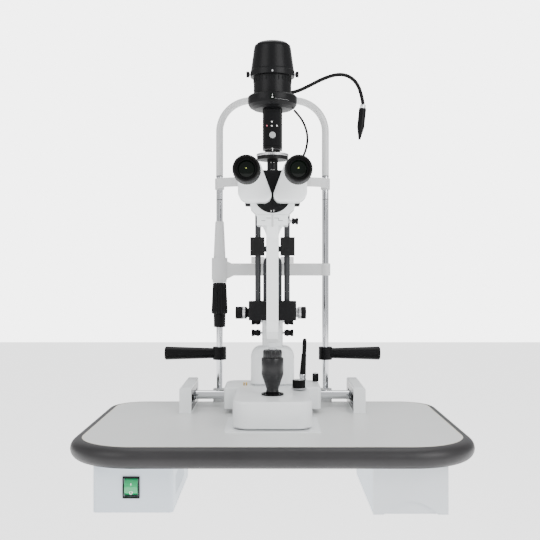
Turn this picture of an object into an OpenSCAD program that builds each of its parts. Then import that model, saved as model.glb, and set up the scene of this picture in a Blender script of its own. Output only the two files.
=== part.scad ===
// Slit lamp: an observation microscope and a lamp tower on a cross-slide base,
// with a patient headrest, on an instrument table top.
// X is to the examiner's right, Y points at the patient, Z is up.
// The origin is the centre of the bolt pattern in the underside of the table top.

/* [Table] */
// Width of the table top over its edge band
table_w = 610; // [580:1:660]
// Depth of the table top over its edge band
table_d = 440; // [430:1:480]
// Thickness of the table top
table_t = 30; // [30:1:30]
// Plan radius of the table's front corners, on the examiner's side
front_corner_r = 105; // [60:1:115]
// Plan radius of the table's rear corners
rear_corner_r = 66; // [40:1:90]
// Width of the bullnose edge band
band_w = 18; // [16:1:24]
// Spacing of the lift column's bolts along X
bolt_dx = 140; // [120:1:160]
// Spacing of the lift column's bolts along Y
bolt_dy = 100; // [80:1:120]
// Radius of the lift column's bolt holes
bolt_r = 4.2; // [3:0.1:5]

/* [Base and rails] */
// Distance of each rail cover's inner face from the centre
rail_x = 142; // [141:1:150]
// Width of a rail cover
rail_w = 21; // [21:1:24]
// Diameter of the axle
axle_d = 16; // [16:0.5:16]
// Teeth on each axle pinion
pinion_teeth = 16; // [16:1:16]
// Half width of the front of the base
base_half_w = 63; // [58:1:66]
// Half width of the rear wings of the base
wing_half_w = 85; // [80:1:88]

/* [Lamp tower] */
// Distance of the lamp axis in front of the swivel axis
lamp_reach = 70; // [66:1:74]
// Half distance between the tower rods
rod_x = 25; // [24:0.5:26]
// Diameter of a tower rod
rod_d = 10; // [8:0.5:10]

/* [Microscope] */
// Height of the optical axis
optic_z = 400; // [400:1:400]
// Half distance between the two eyepieces
eye_x = 37.8; // [36:0.1:39]
// Diameter of an eyepiece
eye_d = 42; // [38:0.5:43]

/* [Headrest] */
// Half distance between the headrest posts
post_x = 101; // [101:1:101]
// Diameter of a headrest post
post_d = 12.5; // [12:0.5:13]
// Height of the arch's centre line
arch_z = 604; // [590:1:620]
// Bend radius of the arch
arch_r = 60; // [50:1:70]

/* [Hidden] */
$fn = 48;
run = 0.06;        // radial clearance of a running fit
seat = 0.02;       // clearance of pieces fixed to each other
gap = 0.3;         // clearance of moving neighbours
top_z = table_t;   // height of the table surface
band_r = table_t / 2;
pivot_y = 125;     // swivel axis of both arms
axle_y = 153.7;
axle_z = 51;
axle_r = axle_d / 2;
lamp_y = pivot_y - lamp_reach;
stick_y = -15;     // joystick axis
stick_z = 60;      // height of the joystick's gimbal
tilt_z = 207;      // height of the tower's tilt axis and the slit-width knobs
hub_r = 18.8;      // radius of the arms' hubs
shaft_r = 12;      // radius of the column shaft
post_y = 208;
post_r = post_d / 2;
post_top = 460;    // the painted arch starts here
arch_tube_r = 6.7;
eye_z = 427;
hinge_x = 12;      // axis of each prism housing
drum_y = -60;      // axis of the magnification drum
drum_z = 398.5;
rack_pitch_r = 15.5;
rack_m = 2 * rack_pitch_r / pinion_teeth;
travel_out = 59;   // the base's travel towards the examiner
travel_in = 20;    // the base's travel towards the patient
dial_at = [45, 39];      // brightness dial, in plan
lock_at = [79, 148];     // base lock knob, in plan
boot_at = [56, 163];     // cable boot, in plan
boot_lean = 3.5;
cable_at = [57, 194];    // the supply cable's hole through the table top
cable_r = 3.8;

// Routes of the cables and of the bendable arm, by hand
upper_route = [[58.5, 163, 124.9], [59, 163.6, 129], [59.4, 164.4, 134], [59.8, 166, 140],
    [60, 168.4, 145], [60.1, 171.6, 148.4], [60.2, 175.2, 149.4], [60.2, 178.6, 148],
    [60, 181.2, 144], [59.8, 182.8, 138], [59.6, 183.8, 132], [59.4, 184.8, 124]];
lower_route = [[59.38, 184.9, 123], [59.2, 186, 114], [58.8, 187.6, 102], [58.4, 189.2, 90],
    [58, 190.8, 78], [57.6, 192.2, 66], [57.2, 193.3, 54], [57, 194, 44], [57, 194, 34],
    [57, 194, 20], [57, 194, 6], [55, 193, -2], [49, 187, -6.5], [38, 176, -8], [18, 156, -8],
    [-18, 120, -8], [-60, 80, -8], [-96, 46, -8], [-118, 22, -8.6], [-132, 6, -10], [-142.6, -2, -11]];
lead_route = [[37, 57, 556.9], [40, 57, 554], [45, 57, 548], [51, 58, 540], [56, 59, 530],
    [59.4, 60, 519], [60.6, 62, 508], [59.6, 64, 497], [56.6, 66, 486], [52, 68, 476],
    [45.6, 69.8, 466], [37.6, 71, 456], [30.6, 71.6, 445], [26.6, 72, 432], [25.4, 72, 416],
    [25.4, 72, 396], [25.4, 72, 376], [25.4, 72, 356], [25.4, 71.4, 340], [25.4, 70.2, 331], [25.4, 69.6, 323]];
neck_route = [[10, 208, 612.4], [10.2, 208, 614.6], [12.6, 208, 616.4], [17, 208, 617.6], [24, 208, 618.2],
    [34, 208, 619.2], [46, 208, 622], [60, 208, 627.6], [76, 208, 635.6], [92, 208, 643.6],
    [108, 208, 650], [122, 208, 653.4], [134, 208, 653.6], [146, 208, 650], [157, 208, 641.6],
    [165, 208, 629], [170, 208, 613], [173, 208, 597.4]];

// ---- helpers ----
// A box given by its low and high corners
module span(low, high) {
    translate(low) cube(high - low);
}
// A plan rectangle with round corners, centred
module round_rect(w, d, r) {
    square([w - 2 * r, d], center = true);
    square([w, d - 2 * r], center = true);
    for (x = [-1, 1], y = [-1, 1])
        translate([x * (w / 2 - r), y * (d / 2 - r)]) circle(r);
}
// An upright block with round plan corners, given by its low and high corners
module round_span(low, high, r) {
    size = high - low;
    translate([(low.x + high.x) / 2, (low.y + high.y) / 2, low.z])
        linear_extrude(size.z) round_rect(size.x, size.y, r);
}
// A cylinder along X from x0 to x1
module rod_x_dir(x0, x1, y, z, r1, r2) {
    translate([x0, y, z]) rotate([0, 90, 0]) cylinder(h = x1 - x0, r1 = r1, r2 = r2);
}
// A cylinder along Y from y0 to y1
module rod_y_dir(y0, y1, x, z, r1, r2) {
    translate([x, y0, z]) rotate([-90, 0, 0]) cylinder(h = y1 - y0, r1 = r1, r2 = r2);
}
// A ring along Z
module ring(z0, z1, r_out, r_in) {
    translate([0, 0, z0]) difference() {
        cylinder(h = z1 - z0, r = r_out);
        translate([0, 0, -1]) cylinder(h = z1 - z0 + 2, r = r_in);
    }
}
module both_sides() {
    children();
    mirror([1, 0, 0]) children();
}

// A tube swept along a route: one ring of points at each route point
function unit(v) = v / norm(v);
function heading(p, i) = unit(p[min(i + 1, len(p) - 1)] - p[max(i - 1, 0)]);
function side_of(t, hint) = unit(cross(t, hint));
function tube_points(p, r, n, hint) = [for (i = [0:len(p) - 1], k = [0:n - 1])
    let (t = heading(p, i), u = side_of(t, hint), v = cross(t, u), a = 360 * k / n)
        p[i] + r * (cos(a) * u + sin(a) * v)];
function tube_faces(m, n) = concat(
    [[for (k = [0:n - 1]) k]],
    [for (i = [0:m - 2], k = [0:n - 1])
        let (j = (k + 1) % n) [i * n + k, (i + 1) * n + k, (i + 1) * n + j, i * n + j]],
    [[for (k = [n - 1:-1:0]) (m - 1) * n + k]]);
module tube(route, r, n, hint) {
    polyhedron(points = tube_points(route, r, n, hint), faces = tube_faces(len(route), n));
}

// ---- table ----
// Plan centre and radius of each corner, anticlockwise from the rear right
front_x = table_w / 2 - front_corner_r;
front_y = table_d / 2 - front_corner_r;
rear_x = table_w / 2 - rear_corner_r;
rear_y = table_d / 2 - rear_corner_r;
corners = [[rear_x, rear_y, rear_corner_r], [-rear_x, rear_y, rear_corner_r],
    [-front_x, -front_y, front_corner_r], [front_x, -front_y, front_corner_r]];
module mount_holes() {
    for (x = [-1, 1], y = [-1, 1])
        translate([x * bolt_dx / 2, y * bolt_dy / 2, -1]) cylinder(h = 21, r = bolt_r);
}
module table_top() {
    color("whitesmoke") difference() {
        linear_extrude(table_t) hull() for (c = corners)
            translate([c.x, c.y]) circle(c.z - band_w, $fn = 96);
        mount_holes();
        translate([cable_at.x, cable_at.y, -1]) cylinder(h = table_t + 2, r = cable_r + 2.2);
    }
}
module band_profile() {
    square([band_w - band_r, table_t]);
    intersection() {
        translate([band_w - band_r, band_r]) circle(band_r, $fn = 64);
        translate([band_w - band_r, 0]) square([band_r, table_t]);
    }
}
module band_run(length) {
    rotate([90, 0, 90]) linear_extrude(length) band_profile();
}
module table_edge() {
    inner_w = table_w / 2 - band_w;
    inner_d = table_d / 2 - band_w;
    color("dimgray") {
        translate([-rear_x, inner_d, 0]) band_run(2 * rear_x);
        rotate(180) translate([-front_x, inner_d, 0]) band_run(2 * front_x);
        translate([inner_w, rear_y, 0]) rotate(-90) band_run(rear_y + front_y);
        rotate(180) translate([inner_w, front_y, 0]) rotate(-90) band_run(rear_y + front_y);
        for (a = [0:3]) translate([corners[a].x, corners[a].y, 0]) rotate(90 * a)
            rotate_extrude(angle = 90, $fn = 96) translate([corners[a].z - band_w, 0]) band_profile();
    }
}
module glide_plate() {
    color("white") round_span([-75, -100.5, top_z], [75, 30, top_z + 1.5], 4);
}

// ---- boxes under the table ----
box_lo = [-258.5, -185, -68];
box_hi = [-143, 35, 0];
switch_x = -203;
switch_z = -31.5;
module power_box() {
    wall = 2.5;
    color("white") difference() {
        round_span(box_lo, box_hi, 6);
        round_span(box_lo + [wall, wall, wall], box_hi - [wall, wall, -1], 4);
        span([switch_x - 10, box_lo.y - 1, switch_z - 13.2], [switch_x + 10, box_lo.y + wall + 1, switch_z + 13.2]);
        for (i = [0:9])
            span([box_hi.x - wall - 1, -150 + 12 * i, -52], [box_hi.x + 1, -145 + 12 * i, -22]);
        rod_x_dir(box_hi.x - wall - 1, box_hi.x + 1, -2, -11, 4.4, 4.4);
        span([-218, box_hi.y - wall - 1, -46], [-190, box_hi.y + 1, -26]);
    }
    // raised frame around the rocker switch
    color("black") difference() {
        round_span([switch_x - 12, box_lo.y - 1.8, switch_z - 15.5],
            [switch_x + 12, box_lo.y + 0.5, switch_z + 15.5], 1);
        span([switch_x - 10, box_lo.y - 3, switch_z - 13.2], [switch_x + 10, box_lo.y + 2, switch_z + 13.2]);
    }
}
module power_supply() {
    color("dimgray") {
        span([-250, -120, -65.4], [-152, 30, -63]);
        translate([-205, -60, -63]) cylinder(h = 44, r = 38);
        span([-246, 2, -63], [-156, 26, -60]);
        span([-217.4, 12, -45.4], [-190.6, 36.6, -26.6]);
        span([-217.4, 12, -60], [-190.6, 26, -45.4]);
        for (i = [0:3]) translate([-235 + 9 * i, 8, -60]) cylinder(h = 14, r = 3.4);
    }
}
module switch_rocker() {
    color("green") difference() {
        rod_x_dir(switch_x - 9.5, switch_x + 9.5, box_lo.y + 9, switch_z, 13.4, 13.4);
        span([switch_x - 12, box_lo.y + 4.6, switch_z - 20], [switch_x + 12, box_lo.y + 30, switch_z + 20]);
        // the pressed-in lower half
        translate([switch_x - 12, box_lo.y - 4.2, switch_z]) rotate([9, 0, 0])
            translate([0, -10, -20]) cube([24, 10, 40]);
    }
}
tray_lo = [145, -185, -71];
tray_hi = [253, 59.5, 0];
module drawer_housing() {
    wall = 3;
    color("white") difference() {
        round_span([tray_lo.x, tray_lo.y + 7, tray_lo.z], tray_hi, 3);
        span(tray_lo + [wall, -2, wall], tray_hi - [wall, wall, 4]);
    }
}
module drawer_tray() {
    color("gainsboro") difference() {
        union() {
            span([tray_lo.x, tray_lo.y, tray_lo.z], [tray_hi.x, tray_lo.y + 6.4, tray_hi.z - 1]);
            span(tray_lo + [4, 6, 4], [tray_hi.x - 4, tray_hi.y - 6, -8]);
        }
        span(tray_lo + [7, 14, 7], [tray_hi.x - 7, tray_hi.y - 9, 1]);
        // finger pull: a low arch in the front's bottom edge
        rod_y_dir(tray_lo.y - 1, tray_lo.y + 4.6, (tray_lo.x + tray_hi.x) / 2, tray_lo.z + 19 - 49.5, 49.5, 49.5);
    }
}

// ---- rails ----
rail_lo = [rail_x, 74, top_z];
rail_hi = [rail_x + rail_w, 215, 75];
module rail_cover() {
    wall = 2.5;
    chamfer = 3;
    difference() {
        translate([0, rail_hi.y, 0]) rotate([90, 0, 0]) linear_extrude(rail_hi.y - rail_lo.y)
            polygon([[rail_lo.x, rail_lo.z], [rail_hi.x, rail_lo.z], [rail_hi.x, rail_hi.z - chamfer],
                [rail_hi.x - chamfer, rail_hi.z], [rail_lo.x + 2, rail_hi.z], [rail_lo.x, rail_hi.z - 2]]);
        span([rail_lo.x + wall, rail_lo.y + wall, rail_lo.z - 1],
            [rail_hi.x - wall, rail_hi.y - wall, rail_hi.z - 3]);
        span([rail_lo.x - 1, axle_y - travel_out - axle_r - 1, axle_z - axle_r - 0.8],
            [rail_lo.x + wall + 1, axle_y + travel_in + axle_r + 1, axle_z + axle_r + 0.8]);
    }
}
module rail_covers() {
    color("white") both_sides() rail_cover();
}
rack_pitch = PI * rack_m;
module rack_teeth_profile() {
    root = axle_z - rack_pitch_r - 1.35 * rack_m;
    tip = axle_z - rack_pitch_r + 0.75 * rack_m;
    for (i = [-12:6]) {
        y = axle_y + i * rack_pitch;
        polygon([[y - 0.29 * rack_pitch, root - 0.1], [y - 0.1 * rack_pitch, tip],
            [y + 0.1 * rack_pitch, tip], [y + 0.29 * rack_pitch, root - 0.1]]);
    }
}
module rail_racks() {
    color("silver") both_sides() {
        translate([rail_x + 7.6, 0, 0]) rotate([90, 0, 90]) linear_extrude(8) {
            rack_teeth_profile();
            translate([rail_lo.y + 3.5, top_z])
                square([rail_hi.y - rail_lo.y - 7, axle_z - rack_pitch_r - 1.35 * rack_m - top_z]);
        }
    }
}
// The pinion's outline: straight-sided teeth, with a gap at the bottom where a rack tooth enters
function tooth(a) = let (t = 360 / pinion_teeth, ro = rack_pitch_r + 0.75 * rack_m, ri = rack_pitch_r - 1.3 * rack_m)
    [[ri, a - 0.29 * t], [ro, a - 0.09 * t], [ro, a + 0.09 * t], [ri, a + 0.29 * t]];
pinion_polar = [for (i = [0:pinion_teeth - 1], q = tooth(-90 + (i + 0.5) * 360 / pinion_teeth)) q];
module axle_pinions() {
    color("silver") both_sides() translate([rail_x + 7.8, axle_y, axle_z]) rotate([90, 0, 90])
        linear_extrude(7.4) difference() {
            polygon([for (q = pinion_polar) q[0] * [cos(q[1]), sin(q[1])]]);
            circle(axle_r + seat);
        }
}
module axle_shaft() {
    color("gainsboro") rod_x_dir(-rail_x - 16.6, rail_x + 16.6, axle_y, axle_z, axle_r, axle_r);
}
module axle_sliders() {
    color("black") both_sides() difference() {
        span([rail_x + 3, axle_y - 11, axle_z - 12], [rail_x + 6.8, axle_y + 11, axle_z + 12]);
        rod_x_dir(rail_x + 1, rail_x + 9, axle_y, axle_z, axle_r + run, axle_r + run);
    }
}

// ---- base ----
base_lo = [-base_half_w, -92.5, 33];
base_top = 76;
module base_outline(inset) {
    translate([0, (base_lo.y + 120) / 2]) round_rect(2 * (base_half_w - inset), 120 - base_lo.y - 2 * inset, 20 - inset);
}
module wing_outline(inset) {
    hull() for (side = [-1, 1]) {
        translate([side * (wing_half_w - 8), 78]) circle(8 - inset);
        translate([side * (wing_half_w - 22), 148]) circle(22 - inset);
    }
}
module base_cover() {
    wall = 3;
    color("white") difference() {
        union() {
            translate([0, 0, base_lo.z]) linear_extrude(base_top - base_lo.z) base_outline(0);
            translate([0, 0, 38]) linear_extrude(base_top - 38) wing_outline(0);
            translate([0, pivot_y, base_top]) linear_extrude(3) round_rect(68, 68, 18);
            translate([0, stick_y, base_top]) cylinder(h = 1.4, r = 18);
            translate([dial_at.x, dial_at.y, base_top]) cylinder(h = 3.6, r = 13);
        }
        translate([0, 0, base_lo.z - 1]) linear_extrude(base_top - wall - base_lo.z + 1) base_outline(wall);
        translate([0, 0, 37]) linear_extrude(base_top - wall - 37) wing_outline(wall);
        translate([0, stick_y, 60]) cylinder(h = 30, r = 14.2);
        translate([0, pivot_y, 60]) cylinder(h = 30, r = 22);
        translate([dial_at.x, dial_at.y, 60]) cylinder(h = 30, r = 3 + run);
        translate([lock_at.x, lock_at.y, 60]) cylinder(h = 30, r = 2 + run);
        translate([boot_at.x, boot_at.y, 60]) cylinder(h = 30, r = 3.3);
        rod_x_dir(-100, 100, axle_y, axle_z, axle_r + 0.8, axle_r + 0.8);
    }
}
module base_plate() {
    color("silver") difference() {
        union() {
            translate([0, 0, 34]) linear_extrude(3) base_outline(3.4);
            translate([0, 0, 38.2]) linear_extrude(2.4) wing_outline(3.4);
            translate([0, 0, 36]) linear_extrude(4.6) intersection() {
                base_outline(3.4);
                wing_outline(3.4);
            }
            // bearing posts of the axle
            for (x = [-72, 64]) span([x, axle_y - 12, 39], [x + 8, axle_y + 9.5, 63]);
            // lugs that carry the gimbal
            for (x = [-17.4, 14.4]) span([x, stick_y - 5, 36], [x + 3, stick_y + 5, stick_z + 5]);
            // foot that rides on the glide plate
            translate([0, stick_y, top_z + 1.8]) cylinder(h = 4, r = 12);
            translate([40, 34, 36]) cube([10, 10, 22]);
        }
        rod_x_dir(-100, 100, axle_y, axle_z, axle_r + run, axle_r + run);
        rod_x_dir(-30, 30, stick_y, stick_z, 2 + run, 2 + run);
        translate([0, pivot_y, 30]) cylinder(h = 20, r = shaft_r + 1.2);
    }
}
module column_guide() {
    color("silver") translate([0, pivot_y, 0]) {
        ring(40.7, 44, 19.6, shaft_r + run);
        ring(44, 104, 15.4, shaft_r + run);
    }
}
module cable_boot() {
    color("black") translate([boot_at.x, boot_at.y, 0]) difference() {
        union() {
            translate([0, 0, base_top]) cylinder(h = 11, r = 6.2);
            translate([0, 0, base_top + 10]) rotate([0, boot_lean, 0]) cylinder(h = 39, r1 = 6, r2 = 4.4);
            translate([0, 0, base_top - 6]) cylinder(h = 6, r = 3.2);
        }
        translate([0, 0, base_top + 10]) rotate([0, boot_lean, 0]) translate([0, 0, 14]) cylinder(h = 30, r = 2.4);
    }
}
module joystick_gimbal() {
    color("silver") difference() {
        union() {
            translate([0, stick_y, 0]) ring(stick_z - 4, stick_z + 4, 12.6, 9);
            for (x = [-16.8, 12]) rod_x_dir(x, x + 4.8, stick_y, stick_z, 2, 2);
        }
        rod_y_dir(stick_y - 20, stick_y + 20, 0, stick_z, 2 + run, 2 + run);
    }
}
module joystick_stem() {
    color("black") {
        translate([0, stick_y, 48]) cylinder(h = 90, r = 4.5);
        translate([0, stick_y, 70]) cylinder(h = 12, r = 10.6);
        rod_y_dir(stick_y - 12.4, stick_y + 12.4, 0, stick_z, 2, 2);
    }
}
module joystick_grip() {
    color("black") translate([0, stick_y, 0]) difference() {
        rotate_extrude() polygon([[0, 82.3], [10.6, 82.3], [9.9, 84], [10.1, 86], [12, 92], [14.6, 100],
            [17.2, 107], [18, 109.4], [18, 136], [17.2, 137], [15.5, 137.6], [15.5, 148.6], [14.2, 150], [0, 150]]);
        translate([0, 0, 80]) cylinder(h = 58.4, r = 4.5 + run);
        translate([0, 0, 145]) cylinder(h = 10, r = 6 + run);
    }
}
module joystick_button() {
    color("lightgray") translate([0, stick_y, 147]) {
        cylinder(h = 5.2, r = 6);
        translate([0, 0, 5.2]) cylinder(h = 0.8, r1 = 6, r2 = 5);
    }
}
module brightness_dial() {
    color("black") translate([dial_at.x, dial_at.y, 0]) {
        translate([0, 0, base_top + 4]) cylinder(h = 13, r = 11);
        translate([0, 0, base_top + 17]) cylinder(h = 1, r1 = 11, r2 = 10);
        translate([0, 0, 60]) cylinder(h = 21, r = 3);
    }
}
module base_lock_knob() {
    color("black") translate([lock_at.x, lock_at.y, 0]) {
        translate([0, 0, base_top + gap]) cylinder(h = 14.8, r = 5.8);
        translate([0, 0, base_top + 15.1]) cylinder(h = 1, r1 = 5.8, r2 = 4.8);
        translate([0, 0, 68]) cylinder(h = 9, r = 2);
    }
}

// ---- column ----
module column_shaft() {
    color("silver") translate([0, pivot_y, 44.6]) cylinder(h = 152, r = shaft_r);
}
module column_dome() {
    color("white") difference() {
        union() {
            hull() for (x = [-1, 1], y = [-1, 1]) translate([x * 20.75, pivot_y + y * 20.75, 0]) {
                translate([0, 0, 125]) sphere(18, $fn = 32);
                translate([0, 0, 79.5]) cylinder(h = 2, r = 18, $fn = 32);
            }
            translate([0, pivot_y, 130]) cylinder(h = 26.7, r = hub_r);
        }
        translate([0, pivot_y, 79]) cylinder(h = 58, r = 24);
        translate([0, pivot_y, 79]) cylinder(h = 90, r = shaft_r + seat);
    }
}

// ---- microscope ----
arm_y = -75;
module arm_side() {
    polygon([[pivot_y - 16, 157.4], [pivot_y - 16, 175], [arm_y + 70, 180], [arm_y + 34, 184], [arm_y + 18, 193],
        [arm_y + 11, 206], [arm_y + 9, 225], [arm_y + 9, 330], [arm_y + 20, 349.6], [arm_y - 20, 349.6],
        [arm_y - 11, 330], [arm_y - 11, 200], [arm_y - 7, 184], [arm_y + 4, 172], [arm_y + 20, 165], [arm_y + 50, 161.5]]);
}
module microscope_arm() {
    color("white") difference() {
        union() {
            translate([0, pivot_y, 157.2]) cylinder(h = 19.6, r = hub_r);
            translate([-9.2, 0, 0]) rotate([90, 0, 90]) linear_extrude(18.4) arm_side();
            // head of the arm widens towards the clamp
            translate([0, arm_y + 9, 0]) rotate([90, 0, 0]) linear_extrude(20)
                polygon([[-9.2, 330], [9.2, 330], [10.2, 337], [12.4, 343], [16.2, 349.6], [-16.2, 349.6], [-12.4, 343],
                    [-10.2, 337]]);
            span([-24, arm_y - 22, 349.6], [24, arm_y + 24, 366]);
        }
        translate([0, pivot_y, 150]) cylinder(h = 40, r = shaft_r + run);
        rod_x_dir(-30, 30, pivot_y, 167, 2 + run, 2 + run);
    }
}
module thumb_screw_pair(z, shaft) {
    both_sides() {
        rod_x_dir(shaft, hub_r + 3, pivot_y, z, 2, 2);
        translate([hub_r + 2.4, pivot_y, z]) rotate([0, 90, 0]) rotate_extrude()
            polygon([[0, 0], [5, 0], [5, 2.6], [6.25, 3.6], [6.25, 6.4], [5.1, 8.6], [5.1, 10.6], [6.25, 12.8],
                [6.25, 15.8], [5.4, 16.6], [0, 16.6]]);
    }
}
module microscope_lock_screws() {
    color("black") thumb_screw_pair(167, shaft_r + 0.4);
}
module magnification_housing() {
    color("white") difference() {
        union() {
            translate([0, -28, 0]) rotate([90, 0, 0]) linear_extrude(72)
                polygon([[-24, 366.2], [24, 366.2], [34, 376], [34, 424], [28, 430], [-28, 430], [-34, 424], [-34, 376]]);
            for (x = [-hinge_x, hinge_x]) rod_y_dir(-28.1, -14, x, optic_z, 11.4, 10.6);
            // boss behind each prism housing, and the pin that it turns on
            for (x = [-hinge_x, hinge_x]) rod_y_dir(-110, -99, x, optic_z, 6, 6);
        }
        for (x = [-hinge_x, hinge_x]) rod_y_dir(-32, -10, x, optic_z, 9, 9);
        rod_x_dir(-40, 40, drum_y, drum_z, 23, 23);
    }
    color("white") for (x = [-1, 1]) difference() {
        rod_x_dir(x * 31 - 3, x * 31 + 3, drum_y, drum_z, 24, 24);
        rod_x_dir(-40, 40, drum_y, drum_z, 4 + run, 4 + run);
    }
}
module magnification_drum() {
    color("black") {
        rod_x_dir(-43, 43, drum_y, drum_z, 4, 4);
        difference() {
            rod_x_dir(-27, 27, drum_y, drum_z, 22, 22);
            for (a = [0, 60, 120], x = [-hinge_x, hinge_x])
                translate([0, drum_y, drum_z]) rotate([a + 17, 0, 0]) translate([x, 0, -30]) cylinder(h = 60, r = 8);
        }
        both_sides() {
            rod_x_dir(34.4, 41.6, drum_y, drum_z, 17.4, 17.4);
            rod_x_dir(41.6, 43.4, drum_y, drum_z, 17.4, 15.6);
        }
    }
}
module objective_lenses() {
    color("lightblue") for (x = [-hinge_x, hinge_x]) rod_y_dir(-27.8, -22, x, optic_z, 8.98, 8.98);
}
// The left housing is an oval case that holds the erecting prisms
module prism_case(x) {
    difference() {
        hull() {
            rod_y_dir(-136, -101, x * 34, 431, 18.3, 18.3);
            rod_y_dir(-136, -101, x * 37, 398, 15, 15);
            rod_y_dir(-136, -101, x * 12.8, 394, 11.2, 11.2);
        }
        rod_y_dir(-120, -90, x * hinge_x, optic_z, 6 + run, 6 + run);
        rod_y_dir(-140, -118, x * eye_x, eye_z, 12 + run, 12 + run);
    }
    difference() {
        rod_y_dir(-150, -136, x * eye_x, eye_z, 15.2, 14.2);
        rod_y_dir(-151, -135, x * eye_x, eye_z, 12 + run, 12 + run);
    }
}
module left_prism_housing() {
    color("white") prism_case(-1);
}
module right_prism_housing() {
    color("white") prism_case(1);
}
module eyepiece(x) {
    translate([x * eye_x, -120, eye_z]) rotate([90, 0, 0]) difference() {
        rotate_extrude() polygon([[0, 0], [12, 0], [12, 30.3], [17, 30.3], [20, 32], [eye_d / 2, 34],
            [eye_d / 2, 43], [20.2, 45], [20.2, 61], [19.4, 67], [18.2, 70], [13.4, 70], [11, 65], [0, 65]]);
        translate([0, 0, 64]) cylinder(h = 2, r = 8);
    }
}
module left_eyepiece() {
    color("black") eyepiece(-1);
}
module right_eyepiece() {
    color("black") eyepiece(1);
}

// ---- lamp tower ----
module lamp_arm() {
    color("white") difference() {
        union() {
            translate([0, pivot_y, 177.1]) cylinder(h = 20.4, r = hub_r);
            translate([0, pivot_y, 197.5]) cylinder(h = 2, r1 = hub_r, r2 = hub_r - 2);
            span([-14, 77.2, 180], [14, pivot_y - 10, 199.4]);
            span([-14, 50, 180], [14, 78, 194.6]);
        }
        translate([0, pivot_y, 170]) cylinder(h = 26.9, r = shaft_r + run);
        rod_x_dir(-30, 30, pivot_y, 187.5, 2 + run, 2 + run);
    }
}
module lamp_lock_screws() {
    color("black") thumb_screw_pair(187.5, shaft_r + 0.4);
}
block_half_w = 40.7;
module lamp_base_block() {
    color("black") difference() {
        round_span([-block_half_w, lamp_y - 22, 194.8], [block_half_w, lamp_y + 22, 227], 5);
        span([-33, lamp_y - 14.5, 199], [33, lamp_y + 14.5, 228]);
        rod_x_dir(-50, 50, lamp_y, tilt_z, 6 + run, 6 + run);
    }
}
module slit_width_knobs() {
    color("black") {
        rod_x_dir(-64, 58, lamp_y, tilt_z, 3, 3);
        rod_x_dir(-64, -43.6, lamp_y, tilt_z, 10.7, 10.7);
        rod_x_dir(-43.6, -41.2, lamp_y, tilt_z, 8, 8);
        rod_x_dir(41.2, 43.4, lamp_y, tilt_z, 8, 8);
        rod_x_dir(43.4, 58, lamp_y, tilt_z, 10.7, 10.7);
    }
}
rod_top = 452;
module lamp_rods() {
    color("dimgray") for (x = [-rod_x, rod_x])
        translate([x, lamp_y, 213.2]) cylinder(h = rod_top - 213.2, r = rod_d / 2);
}
// Tilting cradle in the block, with the upright bracket and the clamps that tie the rods
module lamp_bracket() {
    rod_r = rod_d / 2;
    color("dimgray") difference() {
        union() {
            rod_x_dir(-40.2, 40.2, lamp_y, tilt_z, 6, 6);
            span([-32, lamp_y - 6, tilt_z - 5], [32, lamp_y + 6, 213.2]);
            span([-14, lamp_y - 8, 213.2], [14, lamp_y + 6, 296]);
            translate([0, lamp_y + 6, 0]) rotate([90, 0, 0]) linear_extrude(14)
                polygon([[-16, 228], [16, 228], [16, 292], [15, 298], [11.5, 302.6], [8, 304], [-8, 304],
                    [-11.5, 302.6], [-15, 298], [-16, 292]]);
            both_sides() round_span([13.8, lamp_y - 12, 305.4], [38.2, lamp_y + 12, 337], 2);
            span([-rod_x, lamp_y + 5.5, 312], [rod_x, lamp_y + 11, 322]);
            span([-10.7, lamp_y + 5.5, 300], [10.7, lamp_y + 11, 337]);
        }
        for (x = [-rod_x, rod_x]) translate([x, lamp_y, 213.2]) cylinder(h = 300, r = rod_r + seat);
        rod_x_dir(-50, 50, lamp_y, tilt_z, 3 + run, 3 + run);
    }
}
module slit_tube() {
    color("black") translate([0, lamp_y, 0]) {
        difference() {
            union() {
                // yoke on the rods
                translate([0, 0, rod_top - 9]) linear_extrude(9) round_rect(2 * rod_x + 18, 20, 9);
                translate([0, 0, 446]) cylinder(h = 26, r = 9.4);
                // prism head
                span([-9, -9, 386], [9, 9, 447]);
                translate([0, 0, 470]) cylinder(h = 10, r = 27);
                translate([0, 0, 480]) cylinder(h = 8, r = 13.3);
                translate([0, 0, 488]) linear_extrude(67) round_rect(33.4, 40, 4);
                // shallow bowl under the lamp housing
                rotate_extrude($fn = 72) polygon([[0, 554], [22, 554.6], [32, 556.6], [38.6, 560.4], [41.6, 565],
                    [42.3, 570], [42.3, 578.4], [39.6, 581], [0, 581]]);
                translate([0, 0, 581]) cylinder(h = 6, r = 14);
            }
            for (x = [-rod_x, rod_x]) translate([x, 0, rod_top - 10]) cylinder(h = 10, r = rod_d / 2 + seat);
            // light path, down to the mirror that sends the beam to the patient
            translate([0, 0, 400]) cylinder(h = 190, r = 7);
            rod_y_dir(0, 30, 0, 404, 6.4, 6.4);
            rod_y_dir(-30, -5, 0, 510, 2 + run, 2 + run);
        }
    }
}
module filter_knob() {
    color("gray") translate([0, lamp_y, 0]) {
        rod_y_dir(-26, -20.3, 0, 510, 5.4, 5.4);
        rod_y_dir(-20.4, -9, 0, 510, 2, 2);
    }
}
module lamp_lead() {
    color("black") tube(lead_route, 2, 8, [0, 1, 0.1]);
}
module lamp_housing() {
    color("black") translate([0, lamp_y, 0]) difference() {
        translate([0, 0, 581.4]) cylinder(h = 31.4, r = 32.6);
        translate([0, 0, 581]) cylinder(h = 40, r = 14 + run);
        translate([0, 0, 590]) cylinder(h = 40, r = 29);
    }
}
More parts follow.
